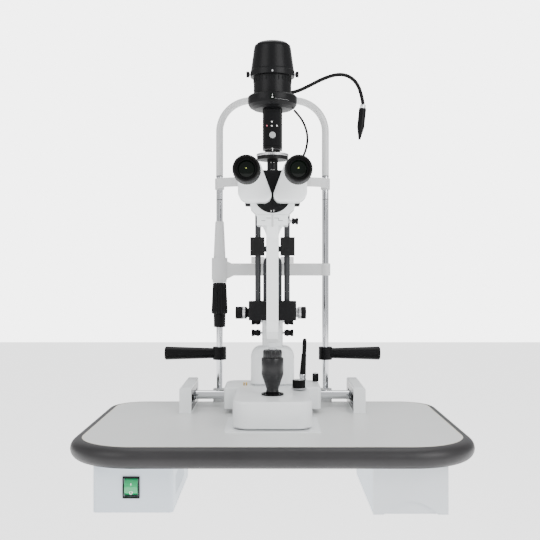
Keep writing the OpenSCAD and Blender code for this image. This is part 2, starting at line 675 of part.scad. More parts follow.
module lamp_cap() {
    color("black") translate([0, lamp_y, 0]) {
        difference() {
            rotate_extrude() polygon([[0, 612.9], [38, 612.9], [38, 622], [37.2, 624.4], [31.9, 662.4], [30.6, 667],
                [26, 670.8], [16, 672.6], [0, 673]]);
            translate([0, 0, 612]) cylinder(h = 48, r = 28.6);
        }
        // small clamp screws at the sides
        both_sides() {
            rod_x_dir(36.6, 40.2, 0, 618, 1.6, 1.6);
            rod_x_dir(40, 44.8, 0, 618, 5, 5);
        }
    }
}
module lamp_bulb() {
    color("lightyellow") translate([0, lamp_y, 0]) {
        translate([0, 0, 590.1]) cylinder(h = 6, r = 20);
        translate([0, 0, 596.1]) cylinder(h = 14, r = 9);
        translate([0, 0, 610.1]) cylinder(h = 16, r = 6);
        translate([0, 0, 626.1]) sphere(6);
    }
}

// ---- headrest ----
module headrest_brackets() {
    color("gainsboro") both_sides() difference() {
        round_span([post_x - 12, post_y - 11, top_z], [post_x + 12, post_y + 11, top_z + 24.5], 6);
        translate([post_x, post_y, top_z + 4]) cylinder(h = 40, r = post_r + seat);
    }
}
module headrest_posts() {
    color("silver") both_sides()
        translate([post_x, post_y, top_z + 4]) cylinder(h = post_top - top_z - 4, r = post_r);
}
module headrest_arch() {
    straight = post_x - arch_r;
    color("gainsboro") {
        both_sides() translate([post_x, post_y, post_top]) cylinder(h = arch_z - arch_r - post_top, r = arch_tube_r);
        both_sides() translate([straight, post_y, arch_z - arch_r]) rotate([90, 0, 0])
            rotate_extrude(angle = 90) translate([arch_r, 0]) circle(arch_tube_r);
        rod_x_dir(-straight, straight, post_y, arch_z, arch_tube_r, arch_tube_r);
        translate([10, post_y, arch_z + 3]) cylinder(h = 4.5, r = 6.4);
    }
}
module forehead_holder() {
    color("gainsboro") difference() {
        union() {
            both_sides() translate([post_x, post_y, 434]) cylinder(h = 21, r = 8.8);
            // two bowed arms that hold the strap ahead of the posts
            both_sides() translate([0, 0, 436]) linear_extrude(17)
                polygon([[post_x - 3, post_y - 9], [post_x + 5, post_y - 9], [post_x + 2, post_y - 26], [post_x - 12, post_y - 37],
                    [post_x - 30, post_y - 43], [post_x - 42, post_y - 44], [post_x - 42, post_y - 40.5],
                    [post_x - 30, post_y - 39.5], [post_x - 16, post_y - 34], [post_x - 5, post_y - 24]]);
        }
        both_sides() translate([post_x, post_y, 430]) cylinder(h = 29.4, r = post_r + seat);
    }
}
module forehead_strap() {
    color("dimgray") translate([0, post_y - 40.3, 433]) linear_extrude(23)
        square([2 * post_x - 84.4, 2.4], center = true);
}
module hand_grips() {
    color("black") both_sides() difference() {
        union() {
            translate([post_x, post_y, 110]) cylinder(h = 24, r = 12.8);
            rod_x_dir(post_x + 8, post_x + 102, post_y, 122, 9.8, 12.75);
            rod_x_dir(post_x + 102, post_x + 104, post_y, 122, 12.75, 11);
        }
        translate([post_x, post_y, 105]) cylinder(h = 34, r = post_r + seat);
    }
}
module sleeve_shape(grow) {
    rotate_extrude() polygon([[0, 256.9], [13.65 + grow, 256.9], [8.3 + grow, 371.5], [7.6 + grow, 373.5], [0, 373.5]]);
}
module chinrest_sleeve() {
    color("white") translate([-post_x, post_y, 0]) difference() {
        sleeve_shape(0);
        translate([0, 0, 250]) cylinder(h = 130, r = post_r + run);
    }
}
module chinrest_bar() {
    color("white") difference() {
        union() {
            // flat bar, with gussets where it meets the sleeve
            translate([0, post_y + 6, 0]) rotate([90, 0, 0]) linear_extrude(12)
                polygon([[-post_x, 270], [-post_x, 262], [-84, 265], [-74, 270], [post_x, 270], [post_x, 293.4],
                    [-78, 293.4], [-86, 297], [-89, 304], [-post_x, 304]]);
            translate([-post_x, post_y, 262]) cylinder(h = 42, r = 15);
            translate([post_x, post_y, 270]) cylinder(h = 23.4, r = 9.6);
            span([-9, post_y - 20, 277], [9, post_y, 293.4]);
        }
        translate([-post_x, post_y, 0]) sleeve_shape(seat);
        translate([post_x, post_y, 260]) cylinder(h = 40, r = post_r + run);
    }
}
module chin_cup() {
    color("white") difference() {
        translate([0, post_y - 22, 293.5]) linear_extrude(12) {
            round_rect(80, 30, 14);
            translate([0, 8]) round_rect(56, 30, 10);
        }
        rod_y_dir(post_y - 64, post_y + 26, 0, 320, 22, 22);
    }
}
module chinrest_knob() {
    color("black") translate([-post_x, post_y, 0]) difference() {
        rotate_extrude() polygon([[0, 172], [10.4, 172], [11, 173], [11.6, 196], [14.6, 198.4], [15.5, 200],
            [15.5, 204], [13.25, 252], [12.6, 256.6], [0, 256.6]]);
        translate([0, 0, 160]) cylinder(h = 100, r = post_r + run);
    }
}
module fixation_arm() {
    color("black") {
        translate([10, post_y, arch_z + 7.8]) cylinder(h = 5, r = 5);
        tube(neck_route, 3.5, 10, [0, 1, 0]);
    }
}
module fixation_lamp() {
    color("black") translate([173, post_y, 596.6]) rotate([0, 6, 0]) rotate([180, 0, 0]) rotate_extrude()
        polygon([[0, 0.4], [4.4, 0.4], [4.8, 6], [7, 8], [7, 44], [6, 48], [3, 62], [2.2, 67], [0, 67]]);
}
module supply_cable_upper() {
    color("black") tube(upper_route, cable_r, 10, [1, -0.3, 0]);
}
module supply_cable_lower() {
    color("black") tube(lower_route, cable_r, 10, [1, -0.3, 0.1]);
}

table_top();
table_edge();
glide_plate();
power_box();
power_supply();
drawer_housing();
rail_racks();
rail_covers();
headrest_brackets();
headrest_posts();
headrest_arch();
forehead_holder();
forehead_strap();
hand_grips();
supply_cable_lower();
switch_rocker();
drawer_tray();
chinrest_sleeve();
chinrest_bar();
chin_cup();
chinrest_knob();
fixation_arm();
fixation_lamp();
axle_sliders();
supply_cable_upper();
axle_shaft();
axle_pinions();
base_cover();
base_plate();
column_guide();
cable_boot();
joystick_gimbal();
joystick_stem();
joystick_grip();
joystick_button();
brightness_dial();
base_lock_knob();
column_shaft();
column_dome();
microscope_arm();
microscope_lock_screws();
magnification_housing();
magnification_drum();
objective_lenses();
left_prism_housing();
right_prism_housing();
left_eyepiece();
right_eyepiece();
lamp_arm();
lamp_lock_screws();
lamp_base_block();
slit_width_knobs();
lamp_rods();
lamp_bracket();
slit_tube();
filter_knob();
lamp_lead();
lamp_housing();
lamp_cap();
lamp_bulb();
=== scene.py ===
"""Slit lamp: looks, small detail, cables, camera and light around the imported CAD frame."""
import math

import bmesh
import bpy
from mathutils import Matrix, Vector


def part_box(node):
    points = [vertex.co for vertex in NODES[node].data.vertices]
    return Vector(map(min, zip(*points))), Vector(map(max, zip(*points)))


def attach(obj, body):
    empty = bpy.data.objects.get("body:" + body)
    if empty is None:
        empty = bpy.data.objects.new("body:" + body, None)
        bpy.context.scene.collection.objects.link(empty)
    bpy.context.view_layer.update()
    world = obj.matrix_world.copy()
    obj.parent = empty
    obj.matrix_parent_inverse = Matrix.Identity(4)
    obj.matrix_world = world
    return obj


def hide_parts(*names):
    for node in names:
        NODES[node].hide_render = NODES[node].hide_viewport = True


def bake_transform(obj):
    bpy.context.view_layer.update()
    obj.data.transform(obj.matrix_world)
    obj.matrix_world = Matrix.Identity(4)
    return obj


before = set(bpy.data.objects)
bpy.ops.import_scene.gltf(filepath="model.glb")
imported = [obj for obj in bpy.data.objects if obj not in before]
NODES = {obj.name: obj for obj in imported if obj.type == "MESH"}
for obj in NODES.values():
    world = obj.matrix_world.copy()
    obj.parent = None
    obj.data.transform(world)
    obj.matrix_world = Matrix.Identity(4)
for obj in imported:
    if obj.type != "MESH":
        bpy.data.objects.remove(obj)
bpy.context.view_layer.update()        # the imported nodes, baked in place
MM = 0.001
SMOOTH_ANGLE = math.radians(32)


# ---------------------------------------------------------------- materials
def principled(name):
    """A new material and its Principled shader."""
    material = bpy.data.materials.new(name)
    material.use_nodes = True
    return material, material.node_tree.nodes["Principled BSDF"]


def link_noise(tree, scale, detail=3.0, stretch=(1, 1, 1)):
    """Noise in the row frame's metres; scale is in features per metre."""
    coord = tree.nodes.new("ShaderNodeTexCoord")
    mapping = tree.nodes.new("ShaderNodeMapping")
    mapping.inputs["Scale"].default_value = stretch
    noise = tree.nodes.new("ShaderNodeTexNoise")
    noise.inputs["Scale"].default_value = scale
    noise.inputs["Detail"].default_value = detail
    tree.links.new(coord.outputs["Object"], mapping.inputs["Vector"])
    tree.links.new(mapping.outputs["Vector"], noise.inputs["Vector"])
    return noise.outputs["Fac"]


def ramp(tree, factor, low, high, start=0.35, end=0.65):
    """Two colours blended by a factor."""
    node = tree.nodes.new("ShaderNodeValToRGB")
    node.color_ramp.elements[0].position = start
    node.color_ramp.elements[0].color = (*low, 1)
    node.color_ramp.elements[1].position = end
    node.color_ramp.elements[1].color = (*high, 1)
    tree.links.new(factor, node.inputs["Fac"])
    return node.outputs["Color"]


def spread(tree, factor, low, high):
    """A number between low and high, by a factor."""
    node = tree.nodes.new("ShaderNodeMapRange")
    node.inputs["From Min"].default_value = 0.3
    node.inputs["From Max"].default_value = 0.7
    node.inputs["To Min"].default_value = low
    node.inputs["To Max"].default_value = high
    tree.links.new(factor, node.inputs["Value"])
    return node.outputs["Result"]


def finish_of(name, color, rough, metal=0.0, grain=900, bump=0.02, tint=0.04, rough_var=0.05,
              coat=0.0, stretch=(1, 1, 1), specular=0.5):
    """A painted, moulded or machined surface: clouded colour, uneven gloss and fine grain."""
    material, shader = principled(name)
    tree = material.node_tree
    shader.inputs["Metallic"].default_value = metal
    shader.inputs["Specular IOR Level"].default_value = specular
    shader.inputs["Coat Weight"].default_value = coat
    shader.inputs["Coat Roughness"].default_value = 0.12
    cloud = link_noise(tree, 14, 4)
    low = tuple(c * (1 - tint) for c in color)
    high = tuple(min(1, c * (1 + tint)) for c in color)
    tree.links.new(ramp(tree, cloud, low, high), shader.inputs["Base Color"])
    fine = link_noise(tree, grain, 3, stretch)
    tree.links.new(spread(tree, fine, rough - rough_var, rough + rough_var), shader.inputs["Roughness"])
    if bump:
        relief = tree.nodes.new("ShaderNodeBump")
        relief.inputs["Strength"].default_value = 0.35
        relief.inputs["Distance"].default_value = bump * MM
        tree.links.new(fine, relief.inputs["Height"])
        tree.links.new(relief.outputs["Normal"], shader.inputs["Normal"])
    return material


def glass_of(name, color, rough=0.02):
    """Coated glass with a faint cloud of dust in its gloss."""
    material, shader = principled(name)
    tree = material.node_tree
    shader.inputs["Transmission Weight"].default_value = 1.0
    shader.inputs["IOR"].default_value = 1.5
    cloud = link_noise(tree, 60, 3)
    tree.links.new(ramp(tree, cloud, tuple(c * 0.92 for c in color), color), shader.inputs["Base Color"])
    tree.links.new(spread(tree, cloud, rough, rough + 0.03), shader.inputs["Roughness"])
    return material


def overlay(material, factor, color):
    """Lays a colour over the material's own, where the factor is 1."""
    tree = material.node_tree
    base = tree.nodes["Principled BSDF"].inputs["Base Color"]
    mix = tree.nodes.new("ShaderNodeMix")
    mix.data_type = "RGBA"
    mix.inputs["B"].default_value = (*color, 1)
    tree.links.new(factor, mix.inputs["Factor"])
    tree.links.new(base.links[0].from_socket, mix.inputs["A"])
    tree.links.new(mix.outputs["Result"], base)
    return material


def compare(tree, value, test, edge):
    """1 where the value passes the test against a fixed edge."""
    step = tree.nodes.new("ShaderNodeMath")
    step.operation = test
    step.inputs[1].default_value = edge
    tree.links.new(value, step.inputs[0])
    return step.outputs["Value"]


def two_tone(material, axis, edge, color):
    """Beyond a plane of the row frame, in metres, the material turns to another colour."""
    tree = material.node_tree
    coord = tree.nodes.new("ShaderNodeTexCoord")
    split = tree.nodes.new("ShaderNodeSeparateXYZ")
    tree.links.new(coord.outputs["Object"], split.inputs["Vector"])
    return overlay(material, compare(tree, split.outputs[axis], "GREATER_THAN", edge), color)


def patch(material, low, high, color):
    """Inside a box in millimetres, mirrored in X, the material takes another colour."""
    tree = material.node_tree
    coord = tree.nodes.new("ShaderNodeTexCoord")
    mirror = tree.nodes.new("ShaderNodeVectorMath")
    mirror.operation = "ABSOLUTE"
    split = tree.nodes.new("ShaderNodeSeparateXYZ")
    tree.links.new(coord.outputs["Object"], mirror.inputs[0])
    tree.links.new(mirror.outputs["Vector"], split.inputs["Vector"])
    factor = None
    for test, corner in (("GREATER_THAN", low), ("LESS_THAN", high)):
        for axis, edge in zip("XYZ", corner):
            inside = compare(tree, split.outputs[axis], test, edge * MM)
            if factor is None:
                factor = inside
                continue
            both = tree.nodes.new("ShaderNodeMath")
            both.operation = "MULTIPLY"
            tree.links.new(factor, both.inputs[0])
            tree.links.new(inside, both.inputs[1])
            factor = both.outputs["Value"]
    return overlay(material, factor, color)


WHITE = finish_of("white_paint", (0.84, 0.86, 0.865), 0.34, grain=1500, bump=0.03, tint=0.015, coat=0.25)
GREY = finish_of("grey_paint", (0.56, 0.565, 0.565), 0.38, grain=1500, bump=0.03, tint=0.015, coat=0.2)
BOX_WHITE = finish_of("box_paint", (0.60, 0.66, 0.72), 0.42, grain=1100, bump=0.05, tint=0.015)
LAMINATE = finish_of("laminate", (0.68, 0.69, 0.68), 0.34, grain=2600, bump=0.02, tint=0.012)
EDGE = finish_of("edge_band", (0.022, 0.021, 0.022), 0.42, grain=2200, bump=0.04, tint=0.10, specular=0.3)
BLACK = finish_of("black_plastic", (0.0025, 0.0025, 0.003), 0.38, grain=2200, bump=0.04, tint=0.18,
                  specular=0.14)
GRIP_BLACK = finish_of("grip_plastic", (0.006, 0.006, 0.007), 0.30, grain=2400, bump=0.04, tint=0.15,
                       specular=0.4)
BLACK_PAINT = finish_of("black_paint", (0.0035, 0.0035, 0.004), 0.36, grain=3000, bump=0.05, tint=0.12,
                        specular=0.16)
DARK_PAINT = finish_of("dark_paint", (0.016, 0.017, 0.019), 0.30, grain=2600, bump=0.03, tint=0.12,
                       specular=0.45)
RUBBER = finish_of("black_rubber", (0.005, 0.005, 0.005), 0.55, grain=1800, bump=0.05, tint=0.15,
                   specular=0.12)
STRAP = finish_of("strap_rubber", (0.62, 0.63, 0.63), 0.55, grain=900, bump=0.06, tint=0.05)
PLASTIC_GREY = finish_of("grey_plastic", (0.32, 0.33, 0.33), 0.40, grain=2000, bump=0.03)
PORCELAIN = finish_of("chin_plastic", (0.74, 0.74, 0.73), 0.22, grain=1400, bump=0.01, tint=0.02, coat=0.5)
GREEN = finish_of("green_rocker", (0.004, 0.30, 0.10), 0.16, grain=1200, bump=0.01, tint=0.12, coat=0.6)
CHROME = finish_of("chrome", (0.72, 0.73, 0.75), 0.09, metal=1, grain=500, bump=0.004, rough_var=0.03,
                   tint=0.02)
STEEL = finish_of("ground_steel", (0.52, 0.52, 0.53), 0.28, metal=1, grain=400, bump=0.01, rough_var=0.07,
                  stretch=(0.2, 6, 6))
ALUMINIUM = finish_of("aluminium", (0.62, 0.62, 0.63), 0.35, metal=1, grain=900, bump=0.02)
BRASS = finish_of("brass", (0.62, 0.45, 0.20), 0.24, metal=1, grain=900, bump=0.01)
MARK = finish_of("white_mark", (0.82, 0.82, 0.80), 0.5, grain=3000, bump=0.01)
RED_MARK = finish_of("red_mark", (0.50, 0.12, 0.16), 0.5, grain=3000, bump=0.01)
LENS = glass_of("coated_lens", (0.80, 0.90, 0.86))
BULB = glass_of("bulb_glass", (0.95, 0.94, 0.88))
OCULAR = finish_of("ocular_glass", (0.002, 0.004, 0.0025), 0.06, grain=60, bump=0.0, tint=0.5,
                   rough_var=0.02, specular=0.15)
# painted highlight: a bright yellow-green colour that stands in for the light reflected at the centre of
# each eyepiece lens
PAINTED_GLINT = finish_of("painted_lens_glint", (0.45, 0.52, 0.10), 0.15, grain=900, bump=0.0, coat=1.0)
BRACKET = patch(finish_of("bracket_paint", (0.014, 0.015, 0.017), 0.34, grain=2600, bump=0.03, tint=0.12,
                         specular=0.25), (13.7, 0, 304), (60, 200, 338), (0.003, 0.003, 0.003))
RAIL_WHITE = patch(finish_of("rail_paint", (0.84, 0.86, 0.865), 0.34, grain=1500, bump=0.03, tint=0.015,
                             coat=0.25), (100, 77, 32.5), (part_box("rail_covers")[1].x / MM - 20, 212,
                                                           71.5), (0.006, 0.006, 0.006))
DRAWER = two_tone(finish_of("drawer_plastic", (0.60, 0.63, 0.66), 0.42, grain=1100, bump=0.05, tint=0.015),
                  "Y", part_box("drawer_tray")[0].y + 5.5 * MM, (0.36, 0.38, 0.40))


# ---------------------------------------------------------------- mesh tools
def sharpen(mesh):
    """Smooth shading, kept sharp at real edges."""
    mesh.polygons.foreach_set("use_smooth", [True] * len(mesh.polygons))
    mesh.set_sharp_from_angle(angle=SMOOTH_ANGLE)


def bevelled(obj, width, segments=3, angle=40):
    """Rounds the object's real edges by width, in millimetres."""
    modifier = obj.modifiers.new("edge_round", "BEVEL")
    modifier.width = width * MM
    modifier.segments = segments
    modifier.limit_method = "ANGLE"
    modifier.angle_limit = math.radians(angle)
    modifier.harden_normals = True
    return obj


def piece(name, bm, body, material, replaces=()):
    """Makes an object of a mesh in millimetres, riding on a body."""
    bmesh.ops.scale(bm, vec=(MM, MM, MM), verts=bm.verts)
    bmesh.ops.recalc_face_normals(bm, faces=bm.faces)
    mesh = bpy.data.meshes.new(name)
    bm.to_mesh(mesh)
    bm.free()
    sharpen(mesh)
    obj = bpy.data.objects.new(name, mesh)
    bpy.context.scene.collection.objects.link(obj)
    mesh.materials.append(material)
    if body:
        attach(obj, body)
    if replaces:
        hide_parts(*replaces)
    return obj


def axis_matrix(origin, axis):
    """Turns local Z to an axis and moves to an origin, in millimetres."""
    turn = Vector((0, 0, 1)).rotation_difference(Vector(axis)).to_matrix().to_4x4()
    return Matrix.Translation(origin) @ turn


def loft(bm, rings):
    """Skins rings of the same number of points and closes both ends."""
    rows = [[bm.verts.new(point) for point in ring] for ring in rings]
    count = len(rows[0])
    for low, high in zip(rows, rows[1:]):
        for k in range(count):
            j = (k + 1) % count
            bm.faces.new((low[k], low[j], high[j], high[k]))
    bm.faces.new(rows[0][::-1])
    bm.faces.new(rows[-1])


def lathe(bm, profile, origin, axis=(0, 0, 1), steps=72, ribs=0, depth=0.0):
    """Turns (radius, height, ribbed) points about an axis; ribs run along the ribbed stretches."""
    place = axis_matrix(origin, axis)
    rings = []
    for point in profile:
        radius, height = point[0], point[1]
        ribbed = len(point) > 2 and point[2]
        ring = []
        for k in range(steps):
            angle = 2 * math.pi * k / steps
            here = radius
            if ribbed:
                here -= depth * (0.5 - 0.5 * math.cos(ribs * angle)) ** 0.6
            ring.append(place @ Vector((here * math.cos(angle), here * math.sin(angle), height)))
        rings.append(ring)
    loft(bm, rings)


def turned(name, profile, origin, axis, body, material, slot, replaces=(), **shape):
    """A turned piece of its own."""
    bm = bmesh.new()
    lathe(bm, profile, origin, axis, **shape)
    return piece(name, bm, body, material, replaces)


def round_rect(width, depth, radius, per_corner=8):
    """Points of a rectangle with round corners, centred, anticlockwise."""
    points = []
    for turn, (sx, sy) in enumerate(((1, 1), (-1, 1), (-1, -1), (1, -1))):
        for k in range(per_corner + 1):
            angle = math.pi / 2 * (turn + k / per_corner)
            points.append((sx * (width / 2 - radius) + radius * math.cos(angle),
                           sy * (depth / 2 - radius) + radius * math.sin(angle)))
    return points


def block(bm, low, high, radius=0.4):
    """An upright block with small round corners and top and bottom edges, in millimetres."""
    centre = [(a + b) / 2 for a, b in zip(low, high)]
    size = [b - a for a, b in zip(low, high)]
    rings = []
    for z, inset in ((low[2], radius * 0.7), (low[2] + radius * 0.7, 0), (high[2] - radius * 0.7, 0),
                     (high[2], radius * 0.7)):
        outline = round_rect(size[0] - 2 * inset, size[1] - 2 * inset, radius, 3)
        rings.append([(centre[0] + x, centre[1] + y, z) for x, y in outline])
    loft(bm, rings)


def dab(bm, at, half, radius):
    """A small block round a point, given its half sizes."""
    block(bm, at - Vector(half), at + Vector(half), radius)


def blocks(name, boxes, body, material, radius=0.4):
    """Several small blocks as one piece."""
    bm = bmesh.new()
    for low, high in boxes:
        block(bm, low, high, radius)
    return piece(name, bm, body, material)


def curve_points(route, per_span=4):
    """A smooth line through a route's points (Catmull-Rom)."""
    points = [Vector(p) for p in route]
    ends = [2 * points[0] - points[1]] + points + [2 * points[-1] - points[-2]]
    line = []
    for a, b, c, d in zip(ends, ends[1:], ends[2:], ends[3:]):
        for k in range(per_span):
            t = k / per_span
            line.append(0.5 * (2 * b + (c - a) * t + (2 * a - 5 * b + 4 * c - d) * t * t
                               + (3 * b - a - 3 * c + d) * t ** 3))
    return line + [points[-1]]


def tube(name, line, radius, body, material, replaces=(), sides=16):
    """A tube swept along a line."""
    bm = bmesh.new()
    rings = []
    across = None
    for i, point in enumerate(line):
        ahead = (line[min(i + 1, len(line) - 1)] - line[max(i - 1, 0)]).normalized()
        if across is None:
            across = ahead.orthogonal().normalized()
        across = (across - ahead * across.dot(ahead)).normalized()
        other = ahead.cross(across)
        rings.append([point + radius * (math.cos(a) * across + math.sin(a) * other)
                      for a in (2 * math.pi * k / sides for k in range(sides))])
    loft(bm, rings)
    return piece(name, bm, body, material, replaces)


def corners(node):
    """Lowest and highest corner of a CAD node in millimetres."""
    low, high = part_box(node)
    return Vector(low) / MM, Vector(high) / MM


def middle(node):
    low, high = corners(node)
    return (low + high) / 2


def hull_outline(circles, inset, steps=96):
    """Plan points round the hull of (x, y, radius) circles, drawn in by inset."""
    points = []
    for k in range(steps):
        angle = 2 * math.pi * k / steps
        normal = Vector((math.cos(angle), math.sin(angle)))
        best = max(circles, key=lambda c: c[0] * normal.x + c[1] * normal.y + c[2])
        points.append((best[0] + (best[2] - inset) * normal.x, best[1] + (best[2] - inset) * normal.y))
    return points


def disc_profile(radius, low, high, edge):
    """Profile of a disc with rounded rims, for lathe."""
    return [(0.01, low), (radius - edge, low), (radius, low + edge), (radius, high - edge),
            (radius - edge, high), (0.01, high)]


def ring_profile(outer, inner, low, high, edge=0.25):
    """Closed profile of a ring, for ring_of."""
    return [(inner, low + edge), (inner + edge, low), (outer - edge, low), (outer, low + edge),
            (outer, high - edge), (outer - edge, high), (inner + edge, high), (inner, high - edge)]


def ring_of(bm, profile, origin, axis=(0, 0, 1), steps=72):
    """Turns a closed profile into a ring."""
    place = axis_matrix(origin, axis)
    rows = []
    for k in range(steps):
        angle = 2 * math.pi * k / steps
        rows.append([bm.verts.new(place @ Vector((r * math.cos(angle), r * math.sin(angle), h)))
                     for r, h in profile])
    for k in range(steps):
        here, there = rows[k], rows[(k + 1) % steps]
        for i in range(len(profile)):
            j = (i + 1) % len(profile)
            bm.faces.new((here[i], there[i], there[j], here[j]))


def ring_piece(name, profile, origin, axis, body, material):
    bm = bmesh.new()
    ring_of(bm, profile, origin, axis)
    return piece(name, bm, body, material)


def boolean(obj, other, operation):
    """Joins another mesh to a piece or takes it away, and keeps the result as plain mesh."""
    modifier = obj.modifiers.new("boolean", "BOOLEAN")
    modifier.object = other
    modifier.operation = operation
    bpy.context.view_layer.update()
    solid = obj.evaluated_get(bpy.context.evaluated_depsgraph_get())
    mesh = bpy.data.meshes.new_from_object(solid)
    obj.modifiers.clear()
    obj.data = mesh
    bpy.data.objects.remove(other)


def soft_solid(bm, outline, low, high, round_off, foot, steps=6):
    """A solid over a plan outline(inset), with a rounded top edge and a foot drawn in."""
    rings = []
    for k in range(steps):
        angle = math.pi / 2 * k / steps
        rings.append([(x, y, low + foot * (1 - math.cos(angle))) for x,
                      y in outline(foot * (1 - math.sin(angle)))])
    for k in range(steps + 1):
        angle = math.pi / 2 * k / steps
        inset = round_off * (1 - math.cos(angle))
        rings.append([(x, y, high - round_off * (1 - math.sin(angle))) for x, y in outline(inset)])
    loft(bm, rings)


# ---------------------------------------------------------------- camera and light
CAMERA_Y = -1.379
CAMERA_Z = 0.2807
LENS_MM = 55.4
SHIFT_X = -0.0046


def make_camera():
    data = bpy.data.cameras.new("camera")
    data.lens = LENS_MM
    data.sensor_width = 36
    data.shift_x = SHIFT_X
    camera = bpy.data.objects.new("camera", data)
    camera.location = (0, CAMERA_Y, CAMERA_Z)
    camera.rotation_euler = (math.radians(90), 0, 0)
    bpy.context.scene.collection.objects.link(camera)
    bpy.context.scene.camera = camera


def area_light(name, place, target, size, power):
    data = bpy.data.lights.new(name, "AREA")
    data.shape = "RECTANGLE"
    data.size, data.size_y = size
    data.energy = power
    light = bpy.data.objects.new(name, data)
    light.location = place
    light.rotation_euler = (Vector(target) - Vector(place)).to_track_quat("-Z", "Y").to_euler()
    bpy.context.scene.collection.objects.link(light)


def make_stage():
    """Pale floor at stand height, white surroundings and two big soft lights."""
    bm = bmesh.new()
    bmesh.ops.create_grid(bm, x_segments=8, y_segments=8, size=9000)
    paper = finish_of("floor", (0.93, 0.93, 0.93), 0.7, grain=30, bump=0.0, tint=0.01)
    # a lit sweep, as under a studio product table
    shader = paper.node_tree.nodes["Principled BSDF"]
    shader.inputs["Emission Color"].default_value = (1, 1, 1, 1)
    shader.inputs["Emission Strength"].default_value = 1.7
    floor = piece("floor", bm, None, paper)
    floor.location.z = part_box("drawer_tray")[0].z - 0.55
    world = bpy.data.worlds.new("studio")
    bpy.context.scene.world = world
    world.use_nodes = True
    tree = world.node_tree
    tree.nodes["Background"].inputs["Color"].default_value = (1, 1, 1, 1)
    tree.nodes["Background"].inputs["Strength"].default_value = 5.2
    # what lights the object: white from above and ahead, darker to the sides and behind the camera
    coord = tree.nodes.new("ShaderNodeTexCoord")
    split = tree.nodes.new("ShaderNodeSeparateXYZ")
    tree.links.new(coord.outputs["Generated"], split.inputs["Vector"])
    fade = tree.nodes.new("ShaderNodeMath")
    fade.operation = "ABSOLUTE"
    tree.links.new(split.outputs["X"], fade.inputs[0])
    bands = tree.nodes.new("ShaderNodeValToRGB")
    stops = bands.color_ramp.elements
    stops[0].position = 0.0
    stops[0].color = (0.74, 0.75, 0.76, 1)
    stops[1].position = 1.0
    stops[1].color = (0.85, 0.86, 0.87, 1)
    for position, value in ((0.55, 0.80), (0.70, 0.34), (0.84, 0.30), (0.93, 0.75)):
        stop = stops.new(position)
        stop.color = (value, value, value * 1.01, 1)
    tree.links.new(fade.outputs["Value"], bands.inputs["Fac"])
    soft = tree.nodes.new("ShaderNodeBackground")
    soft.inputs["Strength"].default_value = 1.15
    tree.links.new(bands.outputs["Color"], soft.inputs["Color"])
    path = tree.nodes.new("ShaderNodeLightPath")
    choose = tree.nodes.new("ShaderNodeMixShader")
    tree.links.new(path.outputs["Is Camera Ray"], choose.inputs["Fac"])
    tree.links.new(soft.outputs["Background"], choose.inputs[1])
    tree.links.new(tree.nodes["Background"].outputs["Background"], choose.inputs[2])
    tree.links.new(choose.outputs["Shader"], tree.nodes["World Output"].inputs["Surface"])
    area_light("key", (1.5, -1.6, 1.3), (0, 0, 0.2), (1.6, 1.4), 42)
    area_light("fill", (-1.6, -1.4, 1.4), (0, 0, 0.2), (1.4, 1.4), 22)
    area_light("top", (0.1, 0.5, 2.2), (0, 0.05, 0.2), (1.6, 1.6), 22)


make_camera()

# ---------------------------------------------------------------- cables
# The same points as the CAD routes, in millimetres: the supply cable's two stretches, lead and gooseneck
UPPER_ROUTE = [(58.5, 163, 124.9), (59, 163.6, 129), (59.4, 164.4, 134), (59.8, 166, 140),
               (60, 168.4, 145), (60.1, 171.6, 148.4), (60.2, 175.2, 149.4), (60.2, 178.6, 148),
               (60, 181.2, 144), (59.8, 182.8, 138), (59.6, 183.8, 132), (59.4, 184.8, 124)]
LOWER_ROUTE = [(59.38, 184.9, 123), (59.2, 186, 114), (58.8, 187.6, 102), (58.4, 189.2, 90),
               (58, 190.8, 78), (57.6, 192.2, 66), (57.2, 193.3, 54), (57, 194, 44), (57, 194, 34),
               (57, 194, 20), (57, 194, 6), (55, 193, -2), (49, 187, -6.5), (38, 176, -8), (18, 156, -8),
               (-18, 120, -8), (-60, 80, -8), (-96, 46, -8), (-118, 22, -8.6), (-132, 6, -10),
               (-142.6, -2, -11)]
LEAD_ROUTE = [(37, 57, 556.9), (40, 57, 554), (45, 57, 548), (51, 58, 540), (56, 59, 530),
              (59.4, 60, 519), (60.6, 62, 508), (59.6, 64, 497), (56.6, 66, 486), (52, 68, 476),
              (45.6, 69.8, 466), (37.6, 71, 456), (30.6, 71.6, 445), (26.6, 72, 432), (25.4, 72, 416),
              (25.4, 72, 396), (25.4, 72, 376), (25.4, 72, 356), (25.4, 71.4, 340), (25.4, 70.2, 331),
              (25.4, 69.6, 323)]
NECK_ROUTE = [(10, 208, 612.4), (10.2, 208, 614.6), (12.6, 208, 616.4), (17, 208, 617.6), (24, 208, 618.2),
              (34, 208, 619.2), (46, 208, 622), (60, 208, 627.6), (76, 208, 635.6), (92, 208, 643.6),
              (108, 208, 650), (122, 208, 653.4), (134, 208, 653.6), (146, 208, 650), (157, 208, 641.6),
              (165, 208, 629), (170, 208, 613), (173, 208, 597.4)]


def supply_cable():
    upper = curve_points(UPPER_ROUTE)
    lower = curve_points(LOWER_ROUTE)
    cables = []
    for name, line, body in (("supply_cable_top", upper, "base"), ("supply_cable_rest", lower, "table")):
        cables.append(tube(name, line, 3.75, body, RUBBER))
    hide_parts("supply_cable_upper")
    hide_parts("supply_cable_lower")
    return cables


supply_cables = supply_cable()


def blend_cables():
    """Takes both cables off their bodies and keeps them fixed where they lie."""
    for cable in supply_cables:
        cable.parent = None
    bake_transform(supply_cables[0])
    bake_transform(supply_cables[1])


blend_cables()
tube("lamp_lead_cable", curve_points(LEAD_ROUTE), 2.0, "tower", RUBBER, ("lamp_lead",), 12)

